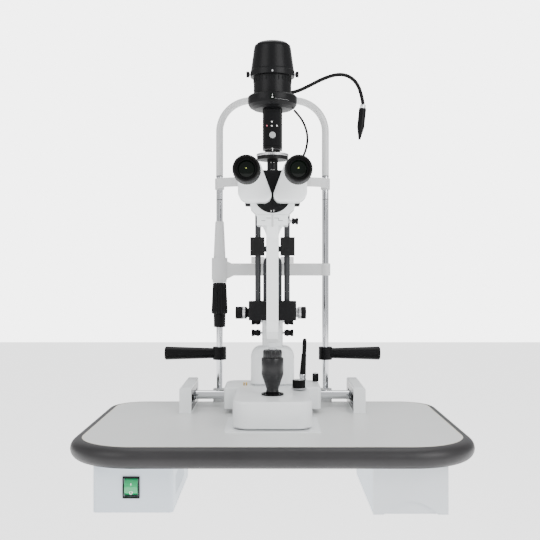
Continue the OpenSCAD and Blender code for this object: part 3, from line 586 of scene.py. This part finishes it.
# ---------------------------------------------------------------- CAD nodes that keep their shape
# material, then the width of the rounded edges in millimetres
LOOKS = { "table_top": (LAMINATE, 0), "table_edge": (EDGE, 0), "glide_plate": (WHITE, 0.3),
         "power_box": (BOX_WHITE, 0.8), "power_supply": (PLASTIC_GREY, 0.3),
         "drawer_housing": (BOX_WHITE, 0.6), "rail_racks": (STEEL, 0), "rail_covers": (RAIL_WHITE, 0.7),
         "headrest_brackets": (GREY, 0.8), "headrest_posts": (CHROME, 0.5), "headrest_arch": (GREY, 0.3),
         "forehead_holder": (GREY, 0.6), "forehead_strap": (STRAP, 0.3), "hand_grips": (BLACK, 0.6),
         "supply_cable_lower": (RUBBER, 0), "switch_rocker": (GREEN, 0.3), "drawer_tray": (DRAWER, 0.6),
         "chinrest_sleeve": (GREY, 0.5), "chinrest_bar": (GREY, 0.8), "chin_cup": (PORCELAIN, 0.8),
         "chinrest_knob": (BLACK, 0.4), "fixation_arm": (RUBBER, 0), "fixation_lamp": (BLACK, 0.3),
         "axle_sliders": (BLACK, 0.4), "supply_cable_upper": (RUBBER, 0), "axle_shaft": (CHROME, 0.6),
         "axle_pinions": (STEEL, 0), "base_cover": (WHITE, 0.5), "base_plate": (ALUMINIUM, 0.3),
         "column_guide": (STEEL, 0.3), "cable_boot": (RUBBER, 0.3), "joystick_gimbal": (STEEL, 0.2),
         "joystick_stem": (BLACK, 0.3), "joystick_grip": (BLACK, 0.4), "joystick_button": (ALUMINIUM, 0.2),
         "brightness_dial": (BLACK, 0.3), "base_lock_knob": (BLACK, 0.3), "column_shaft": (STEEL, 0.4),
         "column_dome": (WHITE, 0), "microscope_arm": (WHITE, 1.2), "microscope_lock_screws": (BLACK, 0.2),
         "magnification_housing": (WHITE, 0.8), "magnification_drum": (BLACK, 0.4),
         "objective_lenses": (LENS, 0.2), "left_prism_housing": (WHITE, 1.0),
         "right_prism_housing": (WHITE, 1.0), "left_eyepiece": (BLACK, 0.3),
         "right_eyepiece": (BLACK, 0.3), "lamp_arm": (WHITE, 0.7), "lamp_lock_screws": (BLACK, 0.2),
         "lamp_base_block": (BLACK_PAINT, 0.6), "slit_width_knobs": (BLACK, 0.4),
         "lamp_rods": (DARK_PAINT, 0.5), "lamp_bracket": (BRACKET, 0.8), "slit_tube": (BLACK_PAINT, 0.5),
         "filter_knob": (PLASTIC_GREY, 0.4), "lamp_lead": (RUBBER, 0), "lamp_housing": (BLACK_PAINT, 0.5),
         "lamp_cap": (BLACK_PAINT, 0.6), "lamp_bulb": (BULB, 0.2), }


def dress_nodes():
    for name, (material, width) in LOOKS.items():
        node = NODES[name]
        for holder in node.material_slots:
            holder.link = "OBJECT"
            holder.material = material
        if not node.material_slots:
            node.data.materials.append(material)
        if width:
            bevelled(node, width, 2)


dress_nodes()

# ---------------------------------------------------------------- detail, in the frame's millimetres
def eyepiece(side):
    """Barrel with a knurled dioptre ring, a rubber cup, the lens deep in it, and a painted highlight on
    the lens.
    """
    name = "left" if side < 0 else "right"
    low, high = corners(f"{name}_eyepiece")
    axis_x = (low.x + high.x) / 2
    axis_z = (low.z + high.z) / 2
    back = high.y
    radius = (high.x - low.x) / 2
    origin = (axis_x, back, axis_z)
    body = f"{name}_ocular"
    toward = (0, -1, 0)
    bm = bmesh.new()
    lathe(bm, [(0.01, 0), (12, 0), (12, 30.3), (17, 30.4), (19.6, 31.6), (radius - 0.6, 33.6),
               (radius, 34.6, True), (radius, 43, True), (radius - 0.8, 44, True), (20.3, 44.6),
               (20.3, 45.6)], origin, toward, 144, 36, 1.0)
    ring_of(bm, [(13, 45), (20.2, 45), (20.3, 46), (20.3, 60), (20.0, 63), (19.5, 66.4), (19.1, 68.4),
                 (18.5, 69.6), (17.9, 70), (17.2, 69.9), (16.6, 69.2), (16.0, 67.6), (15.2, 62),
                 (14.4, 58.5), (13, 57.4)], origin, toward, 96)
    piece(f"{name}_eyecup", bm, body, RUBBER, (f"{name}_eyepiece",))
    turned(f"{name}_lens", [(0.01, 44), (15.2, 44), (15.2, 57), (13, 58), (9, 58.7), (4.5, 59.2),
                            (0.01, 59.4)], origin, toward, body, OCULAR, "lens_glass")
    ring_piece(f"{name}_lens_ring", ring_profile(15.4, 12.6, 57.8, 59.0), origin, toward, body, BLACK)
    # painted highlight: a small bright disc on the lens where the reflection of the light sits
    turned(f"{name}_painted_lens_glint", [(0.01, 59), (1.15, 59), (0.9, 59.55), (0.01, 59.6)],
           (axis_x - 0.2, back, axis_z + 1.1), toward, body, PAINTED_GLINT, "lens_glass", steps=20)
    # white marks of the dioptre scale, on top of the ring
    bm = bmesh.new()
    for k in range(7):
        angle = math.radians(90 + 14 * (k - 3))
        at = Vector((axis_x + 20.3 * math.cos(angle), back - 48.5, axis_z + 20.3 * math.sin(angle)))
        dab(bm, at, (0.35, 1.5 - 0.6 * (k % 2), 0.2), 0.1)
    piece(f"{name}_dioptre_scale", bm, body, MARK)


def prism_housing(side):
    """Oval case with soft edges; three circles give its outline, as in the CAD."""
    name = "left" if side < 0 else "right"
    circles = [(side * 34, 431, 18.3), (side * 37, 398, 15), (side * 12.8, 394, 11.2)]
    back = corners(f"{name}_prism_housing")[1].y
    front = -136
    bm = bmesh.new()
    rings = []
    steps = 6
    round_off = 4.0
    for k in range(steps + 1):
        angle = math.pi / 2 * k / steps
        inset = round_off * (1 - math.sin(angle))
        rings.append([(x, back - round_off * 0.4 * (1 - math.cos(angle)), z)
                      for x, z in hull_outline(circles, inset * 0.4)])
    for k in range(steps + 1):
        angle = math.pi / 2 * k / steps
        inset = round_off * (1 - math.cos(angle))
        rings.append([(x, front + round_off * (1 - math.sin(angle)), z)
                      for x, z in hull_outline(circles, inset)])
    loft(bm, rings)
    eye = middle(f"{name}_eyepiece")
    lathe(bm, [(0.01, 134), (16.4, 134), (15.3, 137), (15.2, 146), (14.6, 149.4), (14.0, 149.9),
               (0.01, 149.9)], (eye.x, 0, eye.z), (0, -1, 0))
    piece(f"{name}_prism_case", bm, f"{name}_prism", WHITE, (f"{name}_prism_housing",))


def magnification_front():
    """Black index plate behind the prism cases, with its two white marks, and the drum's two knobs."""
    front = -100.0
    bm = bmesh.new()
    lathe(bm, disc_profile(28.8, 0, 0.9, 0.3), (0, front, 397.3), (0, -1, 0), 96)
    rings = []
    for y in (front + 1.6, front - 0.7):
        rings.append([(x, y, 415.5 + z) for x, z in round_rect(37, 33, 4, 8)])
    loft(bm, rings)
    piece("index_plate", bm, "microscope", BLACK_PAINT)
    blocks("index_marks", [((-2.6, front - 1.15, 370.6), (-1.5, front - 0.8, 372.6)),
                           ((1.7, front - 1.15, 370.6), (2.4, front - 0.8, 373.4))], "microscope", MARK,
           0.1)
    for side in (-1, 1):
        knob = Vector((0, -60, 398.5))
        tag = "left" if side < 0 else "right"
        bm = bmesh.new()
        lathe(bm, [(0.01, 34.5), (16.6, 34.5), (17.4, 35.3, True), (17.4, 41.4, True), (16.9, 42.4),
                   (15.4, 43.3), (14.6, 43.3), (14.0, 42.7), (0.01, 42.5)], knob, (side, 0, 0), 144, 48,
              0.7)
        piece(f"{tag}_drum_knob", bm, "drum", BLACK)
        # white marks round the knob's rim
        bm = bmesh.new()
        for k in range(5):
            angle = math.radians(72 * k + 90)
            at = knob + Vector((side * 43.4, 11.2 * math.cos(angle), 11.2 * math.sin(angle)))
            dab(bm, at - Vector((0.2, 0, 0)), (0.3, 0.5, 1.3), 0.15)
        piece(f"{tag}_drum_figures", bm, "drum", MARK)


def clamp_detail():
    """Dovetail slide of the microscope head: its cream gib, shadow lines and thumb screw."""
    face = -97.0
    blocks("gib", [((-1.5, face - 0.5, 347.4), (1.5, face + 1, 366))], "microscope", GREY,
           0.3)
    blocks("slide_lines", [((-9.5, face - 0.2, 360.6), (-2, face + 0.4, 361.2)),
                           ((2, face - 0.2, 360.6), (9.5, face + 0.4, 361.2)),
                           ((9.2, face - 0.2, 357), (9.8, face + 0.4, 361)),
                           ((9.2, face - 0.2, 356.6), (16, face + 0.4, 357.2)),
                           ((-17, face - 0.2, 356.6), (-11, face + 0.4, 357.2))], "microscope", BLACK,
           0.12)
    origin = (24, -88, 356.5)
    turned("slide_screw_shank", [(0.01, -1), (3.4, -1), (3.6, 0.2), (3.6, 3.4), (3.2, 3.8), (2.2, 4),
                                 (2.2, 6.4), (0.01, 6.4)], origin, (1, 0, 0), "microscope", ALUMINIUM,
           "aluminium")
    turned("slide_screw_head", [(0.01, 6), (4.4, 6), (5, 6.6, True), (5, 9.2, True), (3.8, 10.4, True),
                                (3.8, 11.6, True), (5.2, 12.8, True), (5.2, 15.4, True), (4.6, 16),
                                (0.01, 16.1)], origin, (1, 0, 0), "microscope", BLACK, "black_plastic",
           steps=96, ribs=16, depth=0.5)


def joystick():
    """Grip with a faceted rotating top, a rubber waist, and the black dish in the base."""
    centre = middle("joystick_grip")
    foot = (centre.x, centre.y, 0)
    bm = bmesh.new()
    ring_of(bm, [(4.7, 82.4), (10.5, 82.4), (10.5, 83.2), (9.9, 84.2), (10.1, 86), (11.0, 89), (12, 92),
                 (14.5, 99.6), (14.3, 99.9), (14.4, 100.3), (14.8, 100.6), (17.1, 107), (16.9, 107.4),
                 (17.2, 107.8), (18, 109.6), (18, 135.6), (17.6, 136.6), (16.4, 137.3), (15.4, 137.5),
                 (4.7, 137.5)], foot, (0, 0, 1), 96)
    piece("joystick_handle", bm, "grip", GRIP_BLACK, ("joystick_grip",))
    bm = bmesh.new()
    lathe(bm, [(0.01, 137.3), (14.6, 137.3), (15.5, 138, True), (15.5, 147.6, True), (14.9, 149, True),
               (13.6, 149.9), (7.6, 149.9), (7, 149.3), (7, 146), (0.01, 146)], foot, (0, 0, 1), 144, 18,
          0.75)
    piece("joystick_top_ring", bm, "grip", GRIP_BLACK)
    turned("joystick_button_cap", [(0.01, 149.3), (6.2, 149.3), (6.4, 150), (6.4, 152.0), (5.8, 152.9),
                                   (3, 153.3), (0.01, 153.4)], foot, (0, 0, 1), "release_button", CHROME,
           "steel", ("joystick_button",))
    ring_piece("joystick_dish", [(15, 76.2), (18.3, 76.2), (18.5, 77.6), (18.3, 78.5), (17.4, 78.7),
                                 (15, 77.8)], foot, (0, 0, 1), "base", BLACK)


def boot_spot():
    """Plan position of the cable boot's foot, whose flange has a radius of 6.2 mm."""
    return Vector((corners("cable_boot")[0].x + 6.2, middle("cable_boot").y, 0))


def base_controls():
    """Dial, lock knob, cable ferrule and the two brass stop pins."""
    dial = middle("brightness_dial")
    spot = (dial.x, dial.y, 0)
    turned("dial_knob", [(0.01, 79.9), (10.6, 79.9), (11, 80.4, True), (11, 92.6, True), (10.4, 93.4),
                         (9.6, 93.6), (0.01, 93.6)], spot, (0, 0, 1), "dial", BLACK, "black_plastic",
           ("brightness_dial",), steps=192, ribs=48, depth=0.55)
    turned("dial_cap", [(0.01, 93.2), (9.2, 93.2), (9.2, 93.9), (8.6, 94.0), (0.01, 94.0)], spot,
           (0, 0, 1), "dial", ALUMINIUM, "aluminium")
    blocks("dial_pointer", [((dial.x - 0.5, dial.y - 9.8, 93.5), (dial.x + 0.5, dial.y - 3, 94.15))],
           "dial", MARK, 0.1)
    ring_piece("dial_scale_ring", ring_profile(13.4, 10.2, 78.4, 79.8, 0.4), spot, (0, 0, 1), "base",
               ALUMINIUM)
    lock = middle("base_lock_knob")
    spot = (lock.x, lock.y, 0)
    turned("lock_knob", [(0.01, 76.4), (5.3, 76.4), (5.8, 77, True), (5.8, 89.6, True), (5.2, 90.6),
                         (0.01, 90.8)], spot, (0, 0, 1), "base_lock", BLACK, "black_plastic",
           ("base_lock_knob",), steps=96, ribs=24, depth=0.4)
    turned("lock_knob_cap", [(0.01, 90.2), (4.6, 90.2), (4.6, 91.6), (4.0, 92.1), (0.01, 92.1)], spot,
           (0, 0, 1), "base_lock", MARK, "white_paint")
    spot = boot_spot()
    turned("cable_ferrule", [(0.01, 76.1), (6.9, 76.1), (6.9, 78.4), (6.4, 79), (6.4, 86.6), (6.1, 87.4),
                             (0.01, 87.4)], spot, (0, 0, 1), "base", CHROME, "steel")
    bm = bmesh.new()
    for x in (-50.4, -46.2):
        lathe(bm, [(0.01, 75.6), (1.5, 75.6), (1.5, 81.4), (1.2, 82), (0.01, 82.1)], (x, 94, 0), (0, 0, 1),
              24)
    piece("stop_pins", bm, "base", BRASS)


def headrest_detail():
    """Ribbed chin-rest knob, and the eye-level line and collar on each headrest post."""
    low, high = corners("chinrest_knob")
    spot = ((low.x + high.x) / 2, (low.y + high.y) / 2, 0)
    bm = bmesh.new()
    ring_of(bm, [(6.5, 172), (10.4, 172), (11, 172.8), (11.6, 196), (12.2, 196.8), (6.5, 197)], spot,
            (0, 0, 1), 64)
    lathe(bm, [(6.5, 196.6), (13.4, 197.2), (14.8, 198.4, True), (15.5, 200.4, True), (15.5, 204, True),
               (13.6, 246, True), (13.2, 252, True), (12.8, 255), (12.2, 256.4), (6.5, 256.4)], spot,
          (0, 0, 1), 160, 20, 1.1)
    piece("chinrest_ribbed_knob", bm, "chinrest_screw", BLACK, ("chinrest_knob",))
    post = middle("headrest_posts")
    radius = 6.25
    reach = corners("headrest_posts")[1].x - radius
    for side, tag in ((-1, "left"), (1, "right")):
        bm = bmesh.new()
        ring_of(bm, ring_profile(radius + 0.12, radius - 0.3, 414.2, 415.2, 0.1),
                (side * reach, post.y, 0))
        ring_of(bm, ring_profile(radius + 0.55, radius - 0.3, 458.6, 460.4, 0.2),
                (side * reach, post.y, 0))
        piece(f"{tag}_post_marks", bm, "table", BLACK if side < 0 else DARK_PAINT)


def slit_marks():
    """Silver rims, dots, index marks, pips and windows of the slit unit."""
    axis = middle("lamp_housing")
    spot = (axis.x, axis.y, 0)
    front = axis.y
    ring_piece("slit_silver_line", ring_profile(13.9, 12.9, 487.2, 488.0, 0.2), spot, (0, 0, 1), "tower",
               ALUMINIUM)
    blocks("slit_index", [((-0.7, front - 20.9, 483), (0.7, front - 13, 488.5))], "tower", MARK,
           0.2)
    ring_piece("scale_disc_rim", ring_profile(27.5, 24.6, 476.4, 480.6, 0.5), spot, (0, 0, 1), "tower",
               ALUMINIUM)
    bm = bmesh.new()
    for k in range(25):
        angle = math.radians(-90 + 7 * (k - 12))
        at = Vector((27.45 * math.cos(angle), front + 27.45 * math.sin(angle), 478))
        tall = 1.5 if k % 4 == 0 else 0.8
        dab(bm, at, (0.25, 0.25, tall), 0.08)
    piece("scale_disc_marks", bm, "tower", BLACK)
    bm = bmesh.new()
    for x, z in ((-2.6, 465), (2.6, 465), (-2.3, 452.6), (0, 452.2), (2.3, 452.6), (-2.8, 449.4),
                 (-0.8, 448.8), (1.2, 448.8)):
        depth = front - math.sqrt(9.4 ** 2 - x * x)
        block(bm, (x - 0.55, depth - 0.25, z - 0.45), (x + 0.55, depth + 0.4, z + 0.45), 0.15)
    piece("tube_dots", bm, "tower", MARK)
    face = front - 20
    bm = bmesh.new()
    for x, z in ((-1, 533), (-1, 526), (7.7, 526.2)):
        lathe(bm, [(0.01, 0), (1.4, 0), (1.2, 0.5), (0.01, 0.6)], (x, face - 0.6, z), (0, -1, 0), 20)
    piece("aperture_pips", bm, "tower", MARK)
    turned("aperture_red_pip", [(0.01, 0), (1.4, 0), (1.2, 0.5), (0.01, 0.6)], (-9.4, face - 0.6, 526.2),
           (0, -1, 0), "tower", RED_MARK, "white_paint", steps=20)
    blocks("slit_face_panel", [((-12.6, face - 0.7, 492), (12.6, face + 0.5, 550))], "tower", BLACK,
           0.5)
    turned("filter_knob_cap", [(0.01, 0), (5.2, 0), (5.6, 0.5, True), (5.6, 4.4, True), (5.1, 5.3),
                               (3.8, 5.8), (0.01, 6)], (0, face - 0.4, 510), (0, -1, 0), "filter",
           PLASTIC_GREY, "grey_plastic", ("filter_knob",), steps=96, ribs=24, depth=0.35)
    # window in the bowl's rim with its white index
    rim = front - 42.3
    blocks("scale_window", [((-4.6, rim - 0.2, 567), (4.2, rim + 1.4, 577))], "tower",
           OCULAR, 0.4)
    blocks("scale_window_mark", [((-1.3, rim - 0.4, 569.4), (0.9, rim + 0.4, 571.2)),
                                 ((-0.4, rim - 0.4, 573), (0.2, rim + 0.4, 576))], "tower", MARK,
           0.1)
    # a fine engraved arc to the right of the window
    bm = bmesh.new()
    for k in range(14):
        angle = math.radians(-84 + 2.6 * k)
        at = Vector((42.35 * math.cos(angle), front + 42.35 * math.sin(angle), 568.6 - 0.14 * k))
        dab(bm, at, (0.95, 0.3, 0.14), 0.1)
    piece("rim_arc", bm, "tower", ALUMINIUM)


def lamp_detail():
    """Screws and seam of the lamp's cap, and the ribs of its housing."""
    axis = middle("lamp_housing")
    spot = (axis.x, axis.y, 0)
    front = axis.y
    screw_z = 618
    # silver shanks with black knurled heads, and the small screw in front
    for side, tag in ((-1, "left"), (1, "right")):
        turned(f"{tag}_cap_screw_shank", [(0.01, 37), (2.2, 37), (2.2, 39.6), (0.01, 39.6)],
               (0, front, screw_z), (side, 0, 0), "lamp_head", CHROME, "steel", steps=24)
        turned(f"{tag}_cap_screw_head", [(0.01, 39.4), (3, 39.4), (5.2, 40.6, True), (5.2, 44.6, True),
                                         (4.6, 45.2), (0.01, 45.3)], (0, front, screw_z), (side, 0, 0),
               "lamp_head", BLACK, "black_plastic", steps=96, ribs=20, depth=0.45)
    turned("cap_front_screw", [(0.01, 37.7), (1.5, 37.7), (1.5, 38.5), (1.1, 38.8), (0.01, 38.8)],
           (0, front, 616), (0, -1, 0), "lamp_head", ALUMINIUM, "aluminium", steps=24)
    ring_piece("cap_seam", ring_profile(38.15, 37.2, 621.6, 622.4, 0.2), spot, (0, 0, 1), "lamp_head",
               BLACK)
    # ribs of the housing below the cap
    bm = bmesh.new()
    for k in range(28):
        angle = 2 * math.pi * (k + 0.5) / 28
        at = Vector((32.55 * math.cos(angle), front + 32.55 * math.sin(angle), 606.6))
        dab(bm, at, (0.9, 0.9, 3.4), 0.3)
    piece("housing_ribs", bm, "lamp_head", BLACK_PAINT)


def arm_screws():
    """Knurled lock screws of the two arms, and the slit-width knobs with silver bands."""
    pivot = middle("microscope_lock_screws").y
    for body, node, z in (("microscope_locks", "microscope_lock_screws", 167),
                          ("lamp_locks", "lamp_lock_screws", 187.5)):
        bm = bmesh.new()
        shanks = bmesh.new()
        for side in (-1, 1):
            lathe(bm, [(0.01, 21.3), (5, 21.3), (5.2, 21.8, True), (5.2, 24, True), (6.2, 25, True),
                       (6.3, 28, True), (5.1, 30, True), (5.1, 32, True), (6.2, 34, True), (6.3, 37, True),
                       (5.5, 37.9), (0.01, 38)], (0, pivot, z), (side, 0, 0), 96, 16, 0.45)
            lathe(shanks, [(0.01, 13), (2.05, 13), (2.05, 21.4), (0.01, 21.4)], (0, pivot, z),
                  (side, 0, 0), 24)
        piece(f"{node}_heads", bm, body, BLACK, (node,))
        piece(f"{node}_shanks", shanks, body, CHROME)
    knob = (0, middle("lamp_base_block").y, 207)
    bm = bmesh.new()
    lathe(bm, [(0.01, 41.1), (7.6, 41.1), (8, 41.6), (8, 43.4), (9.8, 44), (10.6, 46), (10.7, 47)], knob,
          (-1, 0, 0), 96)
    lathe(bm, [(0.01, 51), (10.2, 51), (10.7, 51.8, True), (10.7, 62.6, True), (10.1, 63.7), (8.6, 63.9),
               (7, 62.6), (0.01, 62.2)], knob, (-1, 0, 0), 144, 36, 0.5)
    lathe(bm, [(0.01, 49), (9.8, 49), (10.5, 49.8, True), (10.6, 56.8, True), (10, 57.8), (8.8, 58),
               (7, 55.8), (0.01, 55)], knob, (1, 0, 0), 144, 36, 0.5)
    piece("slit_knob_grips", bm, "slit_knobs", BLACK, ("slit_width_knobs",))
    bm = bmesh.new()
    lathe(bm, [(0.01, 46.6), (10.2, 46.6), (10.5, 47.2), (10.5, 50.6), (10.2, 51.2), (0.01, 51.2)], knob,
          (-1, 0, 0))
    lathe(bm, [(0.01, 41.1), (8, 41.1), (8, 43), (9.9, 43.6), (10.4, 44.4), (10.4, 48.6), (10, 49.2),
               (0.01, 49.2)], knob, (1, 0, 0))
    lathe(bm, [(0.01, -41.2), (3, -41.2), (3, 41.2), (0.01, 41.2)], knob, (1, 0, 0), 32)
    piece("slit_knob_bands", bm, "slit_knobs", ALUMINIUM)


def table_detail():
    """Cream joint line inside the edge band, switch frame, marks and box screws."""
    half_w, half_d = corners("table_edge")[1].xy
    band = 18
    front_r = 105
    rear_r = 66
    points = []
    for sx, sy, radius, start in ((1, 1, rear_r, 0), (-1, 1, rear_r, 90), (-1, -1, front_r, 180),
                                  (1, -1, front_r, 270)):
        cx = sx * (half_w - radius)
        cy = sy * (half_d - radius)
        for k in range(25):
            angle = math.radians(start + 90 * k / 24)
            points.append((cx, cy, radius, math.cos(angle), math.sin(angle)))
    bm = bmesh.new()
    rows = []
    for inset, z in ((band - 0.6, 29.6), (band - 0.6, 30.12), (band - 0.2, 30.25), (band + 0.9, 30.25),
                     (band + 1.3, 30.12), (band + 1.3, 29.6)):
        rows.append([bm.verts.new((cx + (r - inset) * c, cy + (r - inset) * s, z))
                     for cx, cy, r, c, s in points])
    for a, b in zip(rows, rows[1:] + rows[:1]):
        for k in range(len(points)):
            j = (k + 1) % len(points)
            bm.faces.new((a[k], a[j], b[j], b[k]))
    piece("joint_line", bm, "table", finish_of("joint_cream", (0.72, 0.70, 0.62), 0.5, grain=2000,
                                               bump=0.02))
    box_low = corners("power_box")[0]
    rocker = middle("switch_rocker")
    bm = bmesh.new()
    frame_middle = Vector((rocker.x, box_low.y + 1.25, rocker.z))
    for side in (-1, 1):
        dab(bm, frame_middle + Vector((11.2 * side, 0, 0)), (1.0, 1.75, 15.6), 0.4)
    for side in (-1, 1):
        dab(bm, frame_middle + Vector((0, 0, 14.4 * side)), (12.1, 1.75, 1.2), 0.4)
    piece("switch_bezel", bm, "table", BLACK)
    face = corners("switch_rocker")[0].y
    blocks("rocker_on_mark", [((rocker.x - 0.6, face + 0.5, rocker.z + 2),
                               (rocker.x + 0.6, face + 2.6, rocker.z + 6.4))], "rocker", MARK,
           0.1)
    ring_piece("rocker_off_mark", ring_profile(2.5, 1.6, 0, 1.6, 0.1),
               (rocker.x, face + 2.6, rocker.z - 7), (0, -1, 0), "rocker", MARK)
    bm = bmesh.new()
    for x in (box_low.x + 12, box_low.x + 104):
        for y in (-150, 0):
            lathe(bm, [(0.01, 68.4), (2.9, 68.4), (3, 68), (3, 67), (0.01, 67)], (x, y, 0), (0, 0, -1), 24)
    piece("box_screws", bm, "table", STEEL)


def base_shell():
    """The base's painted cover: a long nose with soft corners, two wings and a pad, hollow below."""
    low, high = corners("base_cover")
    top = corners("cable_boot")[0].z + 6
    half = 63.0
    wall = 3.2
    pivot = middle("column_guide")
    stick = middle("joystick_grip")
    nose = [(side * (half - r), y, r) for side in (-1, 1) for y, r in ((low.y + 27, 27), (100, 20))]
    wings = [(side * (high.x - r), y, r)
             for side in (-1, 1) for y, r in ((high.y - 92, 8), (high.y - 22, 22))]
    pad = [(side * 16, pivot.y + dy, 18) for side in (-1, 1) for dy in (-16, 16)]
    parts = []
    for circles, bottom, height, round_off, foot in ((nose, low.z, top, 5, 5), (wings, 38, top, 4, 1.5),
                                                     (pad, top - 4, top + 3, 1.6, 0.5)):
        bm = bmesh.new()
        soft_solid(bm, lambda inset, c=circles: hull_outline(c, inset, 128), bottom, height, round_off,
                   foot)
        parts.append(piece("base_shell", bm, None, WHITE))
    shell = parts[0]
    boolean(shell, parts[1], "UNION")
    boolean(shell, parts[2], "UNION")
    for circles, bottom in ((nose, low.z - 2), (wings, 36)):
        bm = bmesh.new()
        soft_solid(bm, lambda inset, c=circles: hull_outline(c, inset + wall, 128), bottom, top - wall,
                   3, 0.1)
        boolean(shell, piece("hollow", bm, None, WHITE), "DIFFERENCE")
    axle = middle("axle_shaft")
    dial = middle("brightness_dial")
    lock = middle("base_lock_knob")
    for spot, radius in ((stick, 14.2), (pivot, 22), (dial, 3.4), (lock, 2.4), (boot_spot(), 3.3)):
        bm = bmesh.new()
        lathe(bm, [(0.01, 60), (radius, 60), (radius, 90), (0.01, 90)], (spot.x, spot.y, 0))
        boolean(shell, piece("bore", bm, None, WHITE), "DIFFERENCE")
    bm = bmesh.new()
    lathe(bm, [(0.01, -100), (7, -100), (7, 100), (0.01, 100)], (0, axle.y, axle.z), (1, 0, 0))
    boolean(shell, piece("bore", bm, None, WHITE), "DIFFERENCE")
    sharpen(shell.data)
    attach(shell, "base")
    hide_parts("base_cover")


def fixation_target():
    """Smooth gooseneck with its foot, and the silver collar of the small lamp."""
    line = curve_points(NECK_ROUTE)
    tube("gooseneck", line, 3.5, "fixation", RUBBER, ("fixation_arm",), 24)
    foot = corners("fixation_arm")[0].z
    turned("neck_foot", [(0.01, foot), (5, foot), (5, foot + 4.2), (4.2, foot + 5), (0.01, foot + 5)],
           (10, NECK_ROUTE[0][1], 0), (0, 0, 1), "fixation", BLACK, "black_plastic")
    lean = math.radians(6)
    turned("lamp_collar", [(0.01, 0.4), (4.9, 0.4), (5.2, 0.9), (5.2, 5.6), (6.4, 7.2), (6.4, 8.4),
                           (0.01, 8.4)], (173, NECK_ROUTE[-1][1], 596.6),
           (-math.sin(lean), 0, -math.cos(lean)), "fixation", CHROME, "steel")


for end in (-1, 1):
    eyepiece(end)
    prism_housing(end)
magnification_front()
clamp_detail()
joystick()
base_controls()
headrest_detail()
slit_marks()
lamp_detail()
arm_screws()
table_detail()
base_shell()
fixation_target()

# ---------------------------------------------------------------- stage and light
make_stage()
